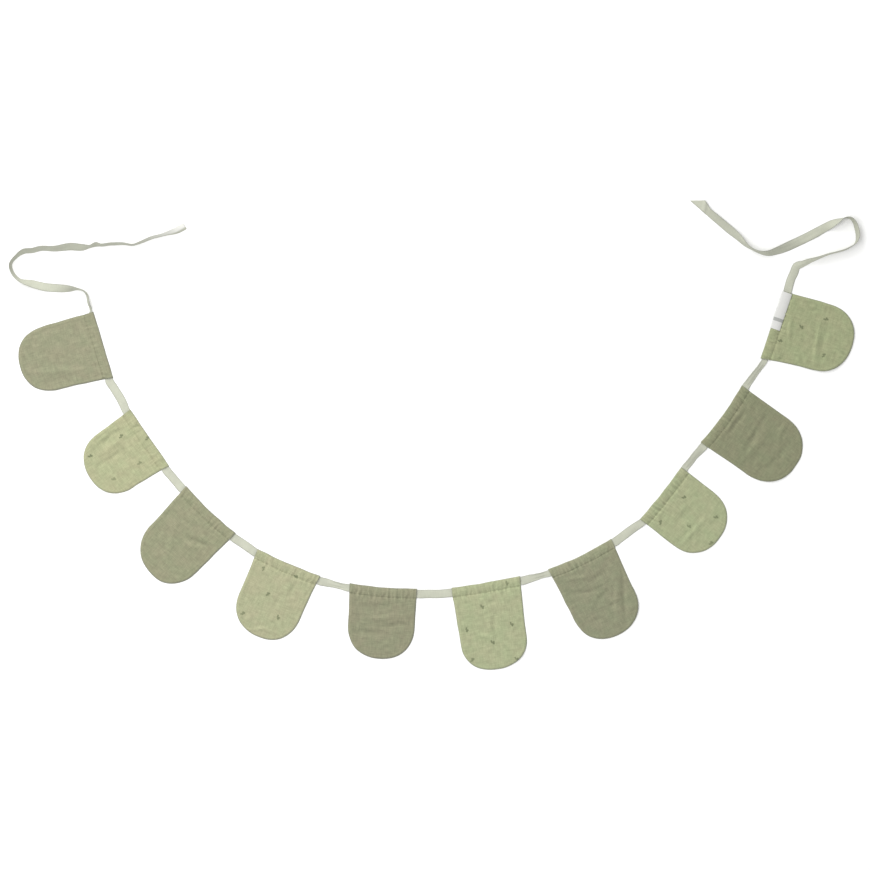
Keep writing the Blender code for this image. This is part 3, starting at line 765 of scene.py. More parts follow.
def muslin_material(flag):
    """Washed cotton muslin in the flag's own tone, with its sprigs if it is a printed one, painted shade
    in its hollows and along its sewn edge, and painted light on raised places.
    """
    material, tree, shader, spot = start_material("muslin %d" % flag.number, fuzz=0.15)
    offset = (FLAG_SHIFT[0] * flag.number, FLAG_SHIFT[1] * flag.number, 0.0)
    moved = wire(tree, "ShaderNodeMapping", {"Vector": spot, "Location": offset}).outputs[0]
    threads = wire(tree, "ShaderNodeGroup", {"Place": moved}, node_tree=THREADS)
    drift = ramp(tree, noise(tree, moved, (DRIFT_SIZE, DRIFT_SIZE, UNCHANGING)), DRIFT_SPAN)
    tint = mixed_colour(tree, drift, WARM_TINT, COOL_TINT)
    base = mixed_colour(tree, 1.0, (*CLOTH_TONES[flag.number], 1.0), tint, "MULTIPLY")
    base = tinted(tree, base, threads.outputs["Tone"], THREAD_TONE)
    patches = noise(tree, moved, PATCH_SIZES, offset=(2.0, 9.0, 0.0), detail=3.0, roughness=0.6)
    base = tinted(tree, base, centred(tree, patches), PATCH_TONE)
    # Painted shade in hollows and painted light on raised places.
    base = tinted(tree, base, measured(tree, "relief").outputs["Fac"], RELIEF_PAINTED_SHADING)
    for sprig in [sprig for sprig in SPRIGS if sprig.flag == flag.number]:
        mask = wire(tree, "ShaderNodeGroup", {"Place": spot, "S": sprig.s, "D": sprig.d,
                                              "Turn": math.radians(sprig.turn)}, node_tree=SPRIG)
        wear_and_painted_light = maths(tree, "MULTIPLY", mask.outputs["Mask"], sprig.ink)
        base = mixed_colour(tree, wear_and_painted_light, base, PRINT_GREEN)
    split = wire(tree, "ShaderNodeSeparateXYZ", {"Vector": spot})
    casing = ramp(tree, split.outputs["Y"], (SEAM_DEPTH - CASING_TONE_FADE, SEAM_DEPTH), (1.0, 0.0))
    base = tinted(tree, base, casing, flag.casing_tone - 1)
    # Painted shade along the sewn edge.
    base = edge_shaded(tree, base, split.outputs["Z"], RIM_WIDTH, flag.rim, RIM_PAINTED_SHADE)
    rough = maths(tree, "MULTIPLY_ADD", threads.outputs["Tone"], TONE_ROUGH, MUSLIN_ROUGH, clamp=True)
    end_material(tree, shader, base, rough, threads.outputs["Height"], strength=0.8, deep=0.4)
    return material


for flag in FLAGS:
    piece = flag_piece(flag)
    piece.data.materials.append(muslin_material(flag))
    node = "flag_%d" % flag.number
    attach(piece, "root")
    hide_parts(node)


# === The casings' stitches ===================================================================
# One row of machine stitches in sage cotton thread closes each casing just below the tape.
# On five flags a short row across the casing, near its middle, holds the tape.

STITCH_LONG = 2.3
STITCH_GAP = 0.7
THREAD_THICK = 0.42
# How far the seam ends short of the flag's sides, and where the short rows lie.
SEAM_SHORT = 2.0
TACKS = {1: 70.0, 2: 66.0, 4: 66.0, 5: 57.0, 6: 62.0}
TACK_DEPTHS = (4.0, 15.5)
# A stitch is a round thread through these rows: the share of its length, the share of the
# thread's thickness, and how deep it sinks into the cloth in thicknesses.
StitchRow = namedtuple("StitchRow", "along size sink")
STITCH_ROWS = [
    StitchRow(0.0, 0.35, 0.9),
    StitchRow(0.15, 0.85, 0.25),
    StitchRow(0.5, 1.0, 0.0),
    StitchRow(0.85, 0.85, 0.25),
    StitchRow(1.0, 0.35, 0.9),
]
THREAD_CORNERS = 6
# How far a stitch stands clear of the cloth, in thicknesses; and the thread's own finish.
STITCH_STAND = 0.1
THREAD_TWIST = 0.5
TWIST_TONE = 0.5
THREAD_ROUGH = 0.7


def stitch_mesh(points, faces, start, end):
    """Add one stitch, which dips into the cloth at both ends."""
    up = np.array([0.0, 0.0, 1.0])
    aside = np.cross(end - start, up)
    aside /= np.linalg.norm(aside)
    rings = []
    for row in STITCH_ROWS:
        centre = start + row.along * (end - start) - row.sink * THREAD_THICK * up
        ring = []
        for corner in range(THREAD_CORNERS):
            turn = 2 * math.pi * corner / THREAD_CORNERS
            out = math.cos(turn) * aside + math.sin(turn) * up
            points.append(centre + THREAD_THICK / 2 * row.size * out)
            ring.append(len(points) - 1)
        rings.append(ring)
    for first, second in zip(rings, rings[1:]):
        faces += strip(first + first[:1], second + second[:1])
    faces += [rings[0], rings[-1][::-1]]


def casing_top(flag, s, d):
    """Height of the cloth's outer face at places on a casing or just below it."""
    level = np.interp(d, [row.d for row in CASING + SEAM], [row.top for row in CASING + SEAM])
    return level + puckers(flag, s, d) * np.minimum(d / GATHER_START, 1.0)


def thread_piece(name, flag, runs):
    """A mesh of stitches along straight runs of (s, d) places on a casing."""
    points, faces = [], []
    margin = STITCH_GAP / (STITCH_LONG + STITCH_GAP) / 2
    for start, end in np.array(runs):
        count = int(math.hypot(*(end - start)) / (STITCH_LONG + STITCH_GAP))
        for index in range(count):
            shares = np.array([index + margin, index + 1 - margin]) / count
            s, d = (start + shares[:, None] * (end - start)).T
            x, y = place(flag, s, d)
            z = casing_top(flag, s, d) + STITCH_STAND * THREAD_THICK
            stitch_mesh(points, faces, *np.stack([x, y, z], axis=1))
    return cloth_piece(name, points, faces, points)


def thread_material(name, colour):
    """Twisted sewing thread."""
    material, tree, shader, spot = start_material(name, fuzz=0.1)
    twist = noise(tree, spot, (THREAD_TWIST, THREAD_TWIST, THREAD_TWIST))
    base = tinted(tree, colour, centred(tree, twist), TWIST_TONE)
    end_material(tree, shader, base, THREAD_ROUGH, twist, strength=0.4, deep=0.1)
    return material


SAGE_THREAD = thread_material("sage thread", (0.235, 0.235, 0.15, 1.0))
PALE_THREAD = thread_material("pale sage thread", (0.325, 0.335, 0.20, 1.0))
for flag in FLAGS:
    runs = [((SEAM_SHORT, SEAM_DEPTH), (flag.width - SEAM_SHORT, SEAM_DEPTH))]
    if flag.number in TACKS:
        runs.append([(TACKS[flag.number], d) for d in TACK_DEPTHS])
    thread = thread_piece("seam_stitches_%d" % flag.number, flag, runs)
    thread.data.materials.append(SAGE_THREAD if flag.cloth == "sage" else PALE_THREAD)
    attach(thread, "root")


# === The tape ================================================================================
# One length of woven cotton tape runs through all ten casings, about 2.8 m long. Its two ends
# are left loose as ties: they twist, stand on edge and loop where they were dropped.

TAPE_WIDTH = 15.0
TAPE_THICK = 0.8
TAPE_STEP = 2.5
# In a casing the tape lies this deep below the top fold and this high off the surface, drawn in
# to this share of its width. MOUTH is how far its rows stand outside and inside a casing's ends;
# the inside ones have already moved inward by a share of the way.
TAPE_DEPTH = 8.6
CASING_LIFT = 1.1
CASING_SPREAD = 0.80
MOUTH = 3.0
INWARD_SHARE = 0.6

# roll stands the tape on edge: above zero its right-hand edge rises, below zero its left-hand
# edge. arch bends it along its middle, and spread is how much of its width lies open.
TieRow = namedtuple("TieRow", "x y roll arch spread")
FIRST_TIE = [
    TieRow(-451.0, 376.2, 14, 3.0, 0.84),
    TieRow(-463.0, 369.4, 28, 2.6, 0.9),
    TieRow(-485.0, 362.0, 66, 1.2, 0.95),
    TieRow(-512.6, 354.1, 71, 0.5, 1.0),
    TieRow(-532.0, 346.2, 76, 0.0, 1.0),
    TieRow(-543.5, 342.3, 80, 0.0, 1.0),
    TieRow(-561.0, 344.2, 76, 0.0, 1.0),
    TieRow(-583.0, 343.5, 72, 0.0, 1.0),
    TieRow(-602.0, 341.5, 72, 0.0, 1.0),
    TieRow(-611.0, 342.7, 58, 0.3, 1.0),
    TieRow(-620.0, 339.3, 72, 0.3, 1.0),
    TieRow(-635.0, 337.5, 40, 0.3, 1.0),
    TieRow(-655.0, 338.8, 33, 0.3, 1.05),
    TieRow(-687.0, 335.0, 54, 0.3, 1.04),
    TieRow(-711.0, 335.4, 57, 0.3, 1.04),
    TieRow(-726.0, 331.6, 58, 0.3, 1.04),
    TieRow(-740.0, 330.4, 56, 0.3, 1.04),
    TieRow(-753.7, 321.3, 68, 0.0, 1.0),
    TieRow(-764.6, 306.2, 74, 0.0, 1.0),
    TieRow(-760.2, 291.0, 70, -0.4, 1.0),
    TieRow(-748.0, 278.8, 68, -0.6, 1.0),
    TieRow(-726.5, 272.2, 24, 0.4, 1.0),
    TieRow(-703.0, 266.4, 6, 0.8, 1.0),
    TieRow(-680.0, 264.2, -15, 0.8, 1.0),
    TieRow(-659.0, 263.4, -42, 0.6, 1.0),
    TieRow(-644.3, 262.6, -77, 0.3, 1.0),
    TieRow(-632.8, 259.2, -84, 0.0, 1.0),
    TieRow(-626.3, 251.0, -74, 0.0, 1.0),
    TieRow(-624.9, 241.2, -72, 0.0, 0.95),
    TieRow(-623.1, 234.3, -70, 0.2, 0.8),
    TieRow(-620.2, 228.6, -64, 0.3, 0.6),
]
LAST_TIE = [
    TieRow(640.0, 280.8, 0, 1.6, 1.0),
    TieRow(645.8, 293.0, -6, 1.6, 1.05),
    TieRow(650.0, 303.8, -10, 2.4, 0.98),
    TieRow(660.3, 307.9, -30, 1.2, 0.86),
    TieRow(670.9, 312.6, -50, 0.5, 0.92),
    TieRow(686.4, 317.8, -72, 0.0, 1.0),
    TieRow(707.5, 325.4, -83, 0.0, 1.0),
    TieRow(728.9, 330.9, -82, 0.0, 1.0),
    TieRow(745.1, 337.3, -84, 0.0, 1.0),
    TieRow(756.3, 346.4, -98, 0.0, 1.0),
    TieRow(759.7, 358.9, -116, 0.0, 1.0),
    TieRow(757.9, 370.9, -118, 0.0, 1.0),
    TieRow(754.0, 382.4, -112, 0.0, 1.0),
    TieRow(746.8, 390.2, -102, 0.0, 1.0),
    TieRow(736.9, 390.8, -94, 0.0, 1.0),
    TieRow(724.6, 385.6, -58, 0.3, 1.0),
    TieRow(706.5, 376.2, -10, 0.8, 1.0),
    TieRow(681.7, 362.6, -4, 0.8, 1.09),
    TieRow(657.1, 350.1, 4, 0.6, 1.08),
    TieRow(632.6, 338.6, 20, 0.4, 1.12),
    TieRow(615.8, 331.9, 37, 0.2, 1.12),
    TieRow(598.5, 327.0, 53, 0.0, 1.07),
    TieRow(584.0, 328.6, 70, 0.0, 1.0),
    TieRow(570.5, 334.1, 80, 0.0, 1.0),
    TieRow(557.6, 343.0, 66, 0.2, 1.0),
    TieRow(545.5, 355.9, 36, 0.4, 0.92),
    TieRow(529.4, 369.8, 12, 0.8, 0.97),
    TieRow(507.5, 387.9, 17, 0.8, 0.96),
    TieRow(490.9, 401.8, 17, 0.6, 0.92),
]
# Between two flags: the share of the gap, and how far the tape shifts to its left-hand side.
GapRow = namedtuple("GapRow", "gap share shift roll arch spread")
GAPS = [
    GapRow(1, 0.25, 0.9, 0, 1.2, 1.03),
    GapRow(1, 0.75, 1.7, 4, 1.2, 1.03),
    GapRow(2, 0.32, 0.0, 0, 0.7, 1.03),
    GapRow(2, 0.68, 0.0, 0, 0.7, 1.03),
    GapRow(3, 0.32, 0.2, 0, 0.6, 1.03),
    GapRow(3, 0.68, 0.4, 4, 0.6, 1.03),
    GapRow(4, 0.25, 0.0, 0, 0.6, 0.98),
    GapRow(4, 0.52, 0.0, -8, 0.3, 0.79),
    GapRow(4, 0.78, -0.2, -4, 0.3, 0.76),
    GapRow(5, 0.30, -0.6, 0, 0.5, 1.02),
    GapRow(5, 0.70, -1.2, 0, 0.5, 1.02),
    GapRow(6, 0.25, 0.0, -3, 0.8, 1.0),
    GapRow(6, 0.50, 0.0, -12, 0.4, 0.83),
    GapRow(6, 0.75, 0.2, -14, 0.3, 0.71),
    GapRow(7, 0.25, 0.0, 0, 0.8, 1.03),
    GapRow(7, 0.50, 0.4, -2, 0.8, 1.03),
    GapRow(7, 0.75, 0.4, -4, 0.6, 1.0),
    GapRow(8, 0.12, 0.0, -16, 0.5, 0.88),
    GapRow(8, 0.30, 0.0, -22, 0.5, 0.9),
    GapRow(8, 0.50, 0.8, -24, 0.5, 0.9),
    GapRow(8, 0.78, 0.2, -18, 0.6, 0.98),
    GapRow(9, 0.12, 0.2, -16, 0.5, 0.88),
    GapRow(9, 0.28, 0.3, -22, 0.5, 0.88),
    GapRow(9, 0.50, 0.4, -26, 0.5, 0.84),
    GapRow(9, 0.80, 0.0, -24, 0.3, 0.78),
]
# Where the tape lies in each casing's two mouths, and how open; the first mouth squeezes it.
Mouth = namedtuple("Mouth", "flag first_d first_spread first_roll last_d last_spread")
MOUTHS = [
    Mouth(1, 4.0, 0.31, -35, 8.8, 1.0),
    Mouth(2, 7.6, 0.96, 0, 8.8, 1.03),
    Mouth(3, 8.8, 1.03, 0, 8.6, 1.03),
    Mouth(4, 7.6, 1.0, 0, 8.9, 1.0),
    Mouth(5, 8.9, 0.88, 0, 9.6, 1.0),
    Mouth(6, 8.6, 1.0, 0, 9.2, 1.03),
    Mouth(7, 7.8, 0.76, 0, 8.8, 1.02),
    Mouth(8, 6.6, 0.92, 0, 6.4, 0.84),
    Mouth(9, 8.9, 1.0, 0, 7.4, 0.9),
    Mouth(10, 8.0, 0.7, 0, 7.8, 1.0),
]
# Stretches of the two ties darkened with painted shade, in millimetres from the first end, or from the
# last end where below zero; a share below zero is a paler stretch of painted light.
ShadedStretch = namedtuple("ShadedStretch", "start end share")
PAINTED_SHADE_STRETCHES = [
    ShadedStretch(4.0, 352.0, 0.15),
    ShadedStretch(444.0, 474.0, 0.14),
    ShadedStretch(488.0, 524.0, 0.17),
    ShadedStretch(-482.0, -424.0, -0.13),
    ShadedStretch(-392.0, -305.0, 0.14),
    ShadedStretch(-215.0, -20.0, 0.11),
]
SHADE_STRETCH_FADE = 12.0
# The last end is cut at a slant: where its two corners lie, and the rows that lead up to them.
CUT_CORNERS = np.array([(458.0, 422.0, 0.4), (485.6, 422.0, 1.4)])
END_ROWS = 12
# A soft crease lies across the last end.
CREASE = np.array([(486.2, 421.0), (483.0, 403.0)])
CREASE_RISE = 2.4
CREASE_SPREAD = 3.2
# Slow waves over the loose tape: their height, their size along and across it, and their seed.
TapeWave = namedtuple("TapeWave", "rise along across seed")
TAPE_WAVES = [
    TapeWave(0.25, 12.0, 6.0, 41),
    TapeWave(0.35, 30.0, 12.0, 42),
]
# How high the tape gathers where it is drawn in to less than its width.
GATHER_RISE = 2.0
# The mesh's lines across the tape, as shares of its half width. A selvedge is rounded off by
# this power and thicker by this share, with its bulge at this place and this wide.
ACROSS = np.array([-1.0, -0.985, -0.93, -0.8, -0.6, -0.4, -0.2, 0.0,
                   0.2, 0.4, 0.6, 0.8, 0.93, 0.985, 1.0])
SELVEDGE_POWER = 14
SELVEDGE_BULGE = 0.18
BULGE_AT = 0.9
BULGE_WIDE = 0.06


def slopes_of(knots, values):
    """Slopes of a smooth curve through values, level at the ends of a flat run."""
    steps = np.diff(values) / np.diff(knots)
    before, after = np.diff(knots)[:-1], np.diff(knots)[1:]
    inner = (steps[:-1] * after + steps[1:] * before) / (before + after)
    inner[(steps[:-1] == 0) | (steps[1:] == 0)] = 0.0
    return np.concatenate([steps[:1], inner, steps[-1:]])


def casing_stretch(flag):
    """The tape's way through one casing, from just outside one mouth to just outside the other."""
    mouth = MOUTHS[flag.number - 1]
    first_in, last_in = (d + INWARD_SHARE * (TAPE_DEPTH - d) for d in (mouth.first_d, mouth.last_d))
    rows = [(-MOUTH, mouth.first_d, mouth.first_spread, mouth.first_roll),
            (MOUTH, first_in, min(mouth.first_spread, CASING_SPREAD), mouth.first_roll / 4)]
    rows += [(share * flag.width, TAPE_DEPTH, CASING_SPREAD, 0) for share in (0.25, 0.5, 0.75)]
    rows += [(flag.width - MOUTH, last_in, min(mouth.last_spread, CASING_SPREAD), 0),
             (flag.width + MOUTH, mouth.last_d, mouth.last_spread, 0)]
    return [(*place(flag, s, d), roll, CASING_LIFT, 0.0, spread) for s, d, spread, roll in rows]


def tape_route():
    """Rows of x, y, roll, lift, arch and spread, from the first tie's end to the last's."""
    rows = [(row.x, row.y, row.roll, 0.0, row.arch, row.spread) for row in FIRST_TIE]
    for flag in FLAGS:
        stretch = casing_stretch(flag)
        if flag.number > 1:
            start = np.array(rows[-1][:2])
            line = stretch[0][:2] - start
            left = np.array([-line[1], line[0]]) / np.hypot(*line)
            for row in [row for row in GAPS if row.gap == flag.number - 1]:
                x, y = start + row.share * line + row.shift * left
                rows.append((x, y, row.roll, 0.0, row.arch, row.spread))
        rows += stretch
    return rows + [(row.x, row.y, row.roll, 0.0, row.arch, row.spread) for row in LAST_TIE]


def tape_rows():
    """The route's rows at even steps over the tape's whole length, and how far along each is."""
    table = np.array(tape_route())
    knots = np.concatenate([[0.0], np.cumsum(np.hypot(*np.diff(table[:, :2], axis=0).T))])
    places = np.linspace(0, knots[-1], round(knots[-1] / TAPE_STEP) + 1)
    index = np.clip(np.searchsorted(knots, places, side="right") - 1, 0, len(knots) - 2)
    length = knots[index + 1] - knots[index]
    share = (places - knots[index]) / length
    columns = []
    for values in table[:, :3].T:
        slopes = slopes_of(knots, values)
        columns.append((2 * share ** 3 - 3 * share ** 2 + 1) * values[index]
                       + (share ** 3 - 2 * share ** 2 + share) * length * slopes[index]
                       + (3 * share ** 2 - 2 * share ** 3) * values[index + 1]
                       + (share ** 3 - share ** 2) * length * slopes[index + 1])
    eased = share * share * (3 - 2 * share)
    for values in table[:, 3:].T:
        columns.append(values[index] + eased * (values[index + 1] - values[index]))
    return np.stack(columns, axis=1), places


def tape_middle():
    """Points over the tape's middle layer, its upward directions, and how far along each row is."""
    rows, places = tape_rows()
    x, y, roll, lift, arch, spread = rows.T
    heading = np.arctan2(np.gradient(y), np.gradient(x))
    roll = np.radians(roll)
    level = np.cos(roll)
    right = np.stack([np.sin(heading) * level, -np.cos(heading) * level, np.sin(roll)], axis=1)
    forward = np.stack([np.cos(heading), np.sin(heading), np.zeros_like(heading)], axis=1)
    up = np.cross(right, forward)
    half = spread * TAPE_WIDTH / 2
    height = lift + np.abs(np.sin(roll)) * half + np.abs(level) * TAPE_THICK / 2
    free = np.clip(1 - lift / CASING_LIFT, 0, 1)[:, None]
    side, far = np.meshgrid(ACROSS, places)
    ripples = sum(row.rise * waves(far, side * TAPE_WIDTH / 2, row.along, row.across, row.seed)
                  for row in TAPE_WAVES)
    gathers = (1 - spread)[:, None] * GATHER_RISE * np.cos(side * 2 * math.pi)
    bend = arch[:, None] * (1 - ACROSS[None] ** 2) + free * (ripples + gathers)
    middle = (np.stack([x, y, height], axis=1)[:, None]
              + right[:, None] * (ACROSS[None, :] * half[:, None])[..., None]
              + up[:, None] * bend[..., None])
    cut = CUT_CORNERS[0] + (CUT_CORNERS[1] - CUT_CORNERS[0]) * (ACROSS[:, None] + 1) / 2
    shares = np.linspace(0, 1, END_ROWS)[1:, None, None]
    middle = np.concatenate([middle, middle[-1] + shares * (cut - middle[-1])])
    up = np.concatenate([up, np.repeat(up[-1:], END_ROWS - 1, axis=0)])
    places = np.concatenate([places, places[-1] + np.arange(1, END_ROWS) * TAPE_STEP])
    away = line_share(middle[..., 0], middle[..., 1], CREASE[0], CREASE[1] - CREASE[0])[1]
    middle[..., 2] += CREASE_RISE * np.exp(-(away / CREASE_SPREAD) ** 2)
    return middle, up, places


def painted_tape_shade(places):
    """How much painted shade darkens the tape at places along it; below zero, painted light makes it
    paler.
    """
    total = np.zeros(len(places))
    for stretch in PAINTED_SHADE_STRETCHES:
        start, end = (spot if spot >= 0 else places[-1] + spot for spot in (stretch.start, stretch.end))
        edges = [start - SHADE_STRETCH_FADE, start + SHADE_STRETCH_FADE, end - SHADE_STRETCH_FADE, end + SHADE_STRETCH_FADE]
        total += stretch.share * np.interp(places, edges, [0, 1, 1, 0])
    return total


def tape_piece():
    """The tape as a closed ribbon with rounded selvedges and both cut ends, and its length."""
    middle, up, places = tape_middle()
    bulge = 1 + SELVEDGE_BULGE * np.exp(-((np.abs(ACROSS) - BULGE_AT) / BULGE_WIDE) ** 2)
    round_off = np.sqrt(np.clip(1 - np.abs(ACROSS) ** SELVEDGE_POWER, 0, 1))
    half = (TAPE_THICK / 2 * round_off * bulge)[None, :, None]
    upper = middle + up[:, None] * half
    lower = middle - up[:, None] * half
    points = np.concatenate([upper, lower[:, -2:0:-1]], axis=1)
    points[..., 2] = np.maximum(points[..., 2], 0.0)
    count, width = middle.shape[:2]
    side = np.concatenate([ACROSS, ACROSS[-2:0:-1]]) * TAPE_WIDTH / 2
    face = np.concatenate([np.ones(width), -np.ones(width - 2)])
    cloth = np.stack([np.repeat(places[:, None], len(side), axis=1), np.tile(side, (count, 1)),
                      np.tile(face, (count, 1))], axis=2)
    ring = np.arange(count * len(side)).reshape(count, len(side))
    closed = np.concatenate([ring, ring[:, :1]], axis=1).tolist()
    faces = []
    for here, there in zip(closed, closed[1:]):
        faces += strip(here, there)
    faces += [ring[0].tolist(), ring[-1][::-1].tolist()]
    piece = cloth_piece("cotton_tape", points.reshape(-1, 3), faces, cloth.reshape(-1, 3))
    # How much painted shade lies on each point, for the tape's material to read.
    set_values(piece.data, "tape_shade", "FLOAT", np.repeat(painted_tape_shade(places), len(side)))
    length = np.linalg.norm(np.diff(middle[:, width // 2], axis=0), axis=1).sum()
    return piece, length


# The tape's ribs slant to and fro in eight strips and fine threads run lengthwise. Its selvedges
# begin between these distances from its middle.
TWILL_STRIP = TAPE_WIDTH / 8
RIB_PITCH = 0.9
PICK_PITCH = 0.8
SELVEDGE_SPAN = (6.3, 6.8)
UNEVEN_SIZES = (1.6, 12.0, 9.0)
BROAD_SIZES = (22.0, 10.0, 9.0)
RIB_TONE = 0.05
UNEVEN_TONE = 0.5
RIB_HEIGHT = 0.3
PICK_HEIGHT = 0.12
SELVEDGE_HEIGHT = 0.5


def make_twill_group():
    """Narrow-woven tape: fine ribs across it, a herringbone slant and firm selvedges."""
    tree, given, out = new_group("tape weave", ["Place"], ["Tone", "Height"])
    spot = given.outputs["Place"]
    split = wire(tree, "ShaderNodeSeparateXYZ", {"Vector": spot})
    zigzag = maths(tree, "PINGPONG", split.outputs["Y"], TWILL_STRIP)
    rib = ribs(tree, maths(tree, "ADD", split.outputs["X"], zigzag), RIB_PITCH)
    pick = ribs(tree, split.outputs["Y"], PICK_PITCH)
    selvedge = ramp(tree, maths(tree, "ABSOLUTE", split.outputs["Y"]), SELVEDGE_SPAN)
    uneven = centred(tree, noise(tree, spot, UNEVEN_SIZES, detail=3.0, roughness=0.6))
    broad = centred(tree, noise(tree, spot, BROAD_SIZES))
    tone = maths(tree, "MULTIPLY_ADD", rib, RIB_TONE, maths(tree, "MULTIPLY", uneven, UNEVEN_TONE))
    tone = maths(tree, "MULTIPLY_ADD", broad, UNEVEN_TONE, tone)
    height = maths(tree, "MULTIPLY_ADD", pick, PICK_HEIGHT, uneven)
    height = maths(tree, "MULTIPLY_ADD", rib, RIB_HEIGHT, height)
    height = maths(tree, "MULTIPLY_ADD", selvedge, SELVEDGE_HEIGHT, height)
    tree.links.new(tone, out.inputs["Tone"])
    tree.links.new(height, out.inputs["Height"])
    return tree


TAPE_COLOUR = (0.446, 0.457, 0.372, 1.0)
TAPE_TONE = 0.4
TAPE_ROUGH = 0.88
# Painted shade along both selvedges, partly also their denser weave: its colour, width and strength.
SELVEDGE_SHADE = (0.165, 0.165, 0.155, 1.0)
SELVEDGE_WIDTH = 2.0
SELVEDGE_STRENGTH = 0.6
# Painted light: over the first end's last 9 cm, all but its lower edge, the tape is painted almost white.
END_PAINTED_LIGHT = (0.64, 0.64, 0.60, 1.0)
END_LIGHT_FADE = (18.0, 90.0)
END_LIGHT_SIDE = (-3.5, -0.5)
TAPE_WEAVE = make_twill_group()
tape_finish, tree, shader, spot = start_material("cotton tape", fuzz=0.1)
weave = wire(tree, "ShaderNodeGroup", {"Place": spot}, node_tree=TAPE_WEAVE)
on_tape = wire(tree, "ShaderNodeSeparateXYZ", {"Vector": spot})
inward = maths(tree, "SUBTRACT", TAPE_WIDTH / 2, maths(tree, "ABSOLUTE", on_tape.outputs["Y"]))
# Painted light over the first end, all but its lower edge.
wear_and_painted_light = maths(tree, "MULTIPLY", ramp(tree, on_tape.outputs["X"], END_LIGHT_FADE, (1.0, 0.0)),
             ramp(tree, on_tape.outputs["Y"], END_LIGHT_SIDE))
base = tinted(tree, TAPE_COLOUR, weave.outputs["Tone"], TAPE_TONE)
# Painted shade along the listed stretches of the ties, and painted light on the paler one.
base = tinted(tree, base, measured(tree, "tape_shade").outputs["Fac"], -1.0)
base = edge_shaded(tree, base, inward, SELVEDGE_WIDTH, SELVEDGE_STRENGTH, SELVEDGE_SHADE)
# Painted light on the first end, almost white.
base = mixed_colour(tree, wear_and_painted_light, base, END_PAINTED_LIGHT)
rough = maths(tree, "MULTIPLY_ADD", weave.outputs["Tone"], 2 * TONE_ROUGH, TAPE_ROUGH)
end_material(tree, shader, base, rough, weave.outputs["Height"], strength=0.4, deep=0.2)

tape, tape_length = tape_piece()
tape.data.materials.append(tape_finish)
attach(tape, "root")
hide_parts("tape")


# === The woven label =========================================================================
# A narrow white label of woven satin lies on the last flag's casing, with a grey band woven
# across it. Both ends are turned under and sewn down.

LABEL_START = 57.5
LABEL_END = 127.2
LABEL_THICK = 0.4
LABEL_THINNEST = 0.15
# The label's rows: their depth on the flag, and how far they bulge off the casing.
LabelRow = namedtuple("LabelRow", "d bulge")
LABEL_ROWS = [
    LabelRow(-1.0, 0.0), LabelRow(-0.4, 0.3), LabelRow(0.8, 0.35), LabelRow(3.0, 0.25),
    LabelRow(6.0, 0.2), LabelRow(9.0, 0.2), LabelRow(12.0, 0.2), LabelRow(14.5, 0.1),
    LabelRow(16.2, 0.0), LabelRow(17.2, 0.0),
]
# Lines across the label: close to its ends, and at even steps between two places.
LABEL_RIM = 0.3
LABEL_INNER = (58.7, 126.2)
LABEL_STEP = 1.5
# It follows the casing without its gathers, this far above it, and never nearer the gathers
# than LABEL_TOUCH. Nearer the top fold than FOLD_OVER it stays level, and nearer than
# FALL_FROM it falls at a slope.
LABEL_LIFT = 0.3
LABEL_TOUCH = 0.05
FOLD_OVER = 1.6
FALL_FROM = 0.5
FALL_SLOPE = 0.5
# The turned-under ends: how much thicker they are and how long.
TURNED_THICK = 0.35
TURNED_LONG = 7.0
TURNED_POWER = 0.3
LABEL_WAVE = 0.10
LABEL_WAVE_SIZES = (9.0, 7.0)
LABEL_WAVE_SEED = 77


def label_piece(flag):
    """The label: a thin sheet bent over the casing, thicker where its ends are turned under."""
    columns = np.concatenate([[LABEL_START, LABEL_START + LABEL_RIM], np.arange(*LABEL_INNER, LABEL_STEP),
                              [LABEL_END - LABEL_RIM, LABEL_END]])
    s, d = np.meshgrid(columns, [row.d for row in LABEL_ROWS])
    bulge = np.array([[row.bulge] for row in LABEL_ROWS])
    held = np.maximum(d, FOLD_OVER)
    level = casing_top(flag, s, held) - puckers(flag, s, held)
    level = level - FALL_SLOPE * np.maximum(FALL_FROM - d, 0.0)
    ends = np.minimum(s - LABEL_START, LABEL_END - s)
    turned_under = TURNED_THICK * np.clip(1 - ends / TURNED_LONG, 0, 1) ** TURNED_POWER
    ripple = LABEL_WAVE * waves(s, d, *LABEL_WAVE_SIZES, LABEL_WAVE_SEED)
    low = level + LABEL_LIFT + bulge + ripple
    top = low + LABEL_THICK + turned_under
    cloth_top = casing_top(flag, s, np.maximum(d, 0.0)) + LABEL_TOUCH
    low = np.minimum(np.maximum(low, cloth_top), top - LABEL_THINNEST)
    x, y = place(flag, s, d)
    points = np.concatenate([np.stack([x, y, z], axis=2).reshape(-1, 3) for z in (top, low)])
    cloth = np.tile(np.stack([s, d, np.ones_like(s)], axis=2).reshape(-1, 3), (2, 1))
    upper = np.arange(s.size).reshape(s.shape)
    lower = upper + s.size
    faces = []
    for sheet, turn in ((upper, -1), (lower, 1)):
        for first, second in zip(sheet, sheet[1:]):
            faces += strip(first, second, turn)
    for side, turn in ((0, 1), (-1, -1)):
        faces += strip(upper[:, side], lower[:, side], turn) + strip(upper[side], lower[side], -turn)
    return cloth_piece("woven_label", points, faces, cloth)


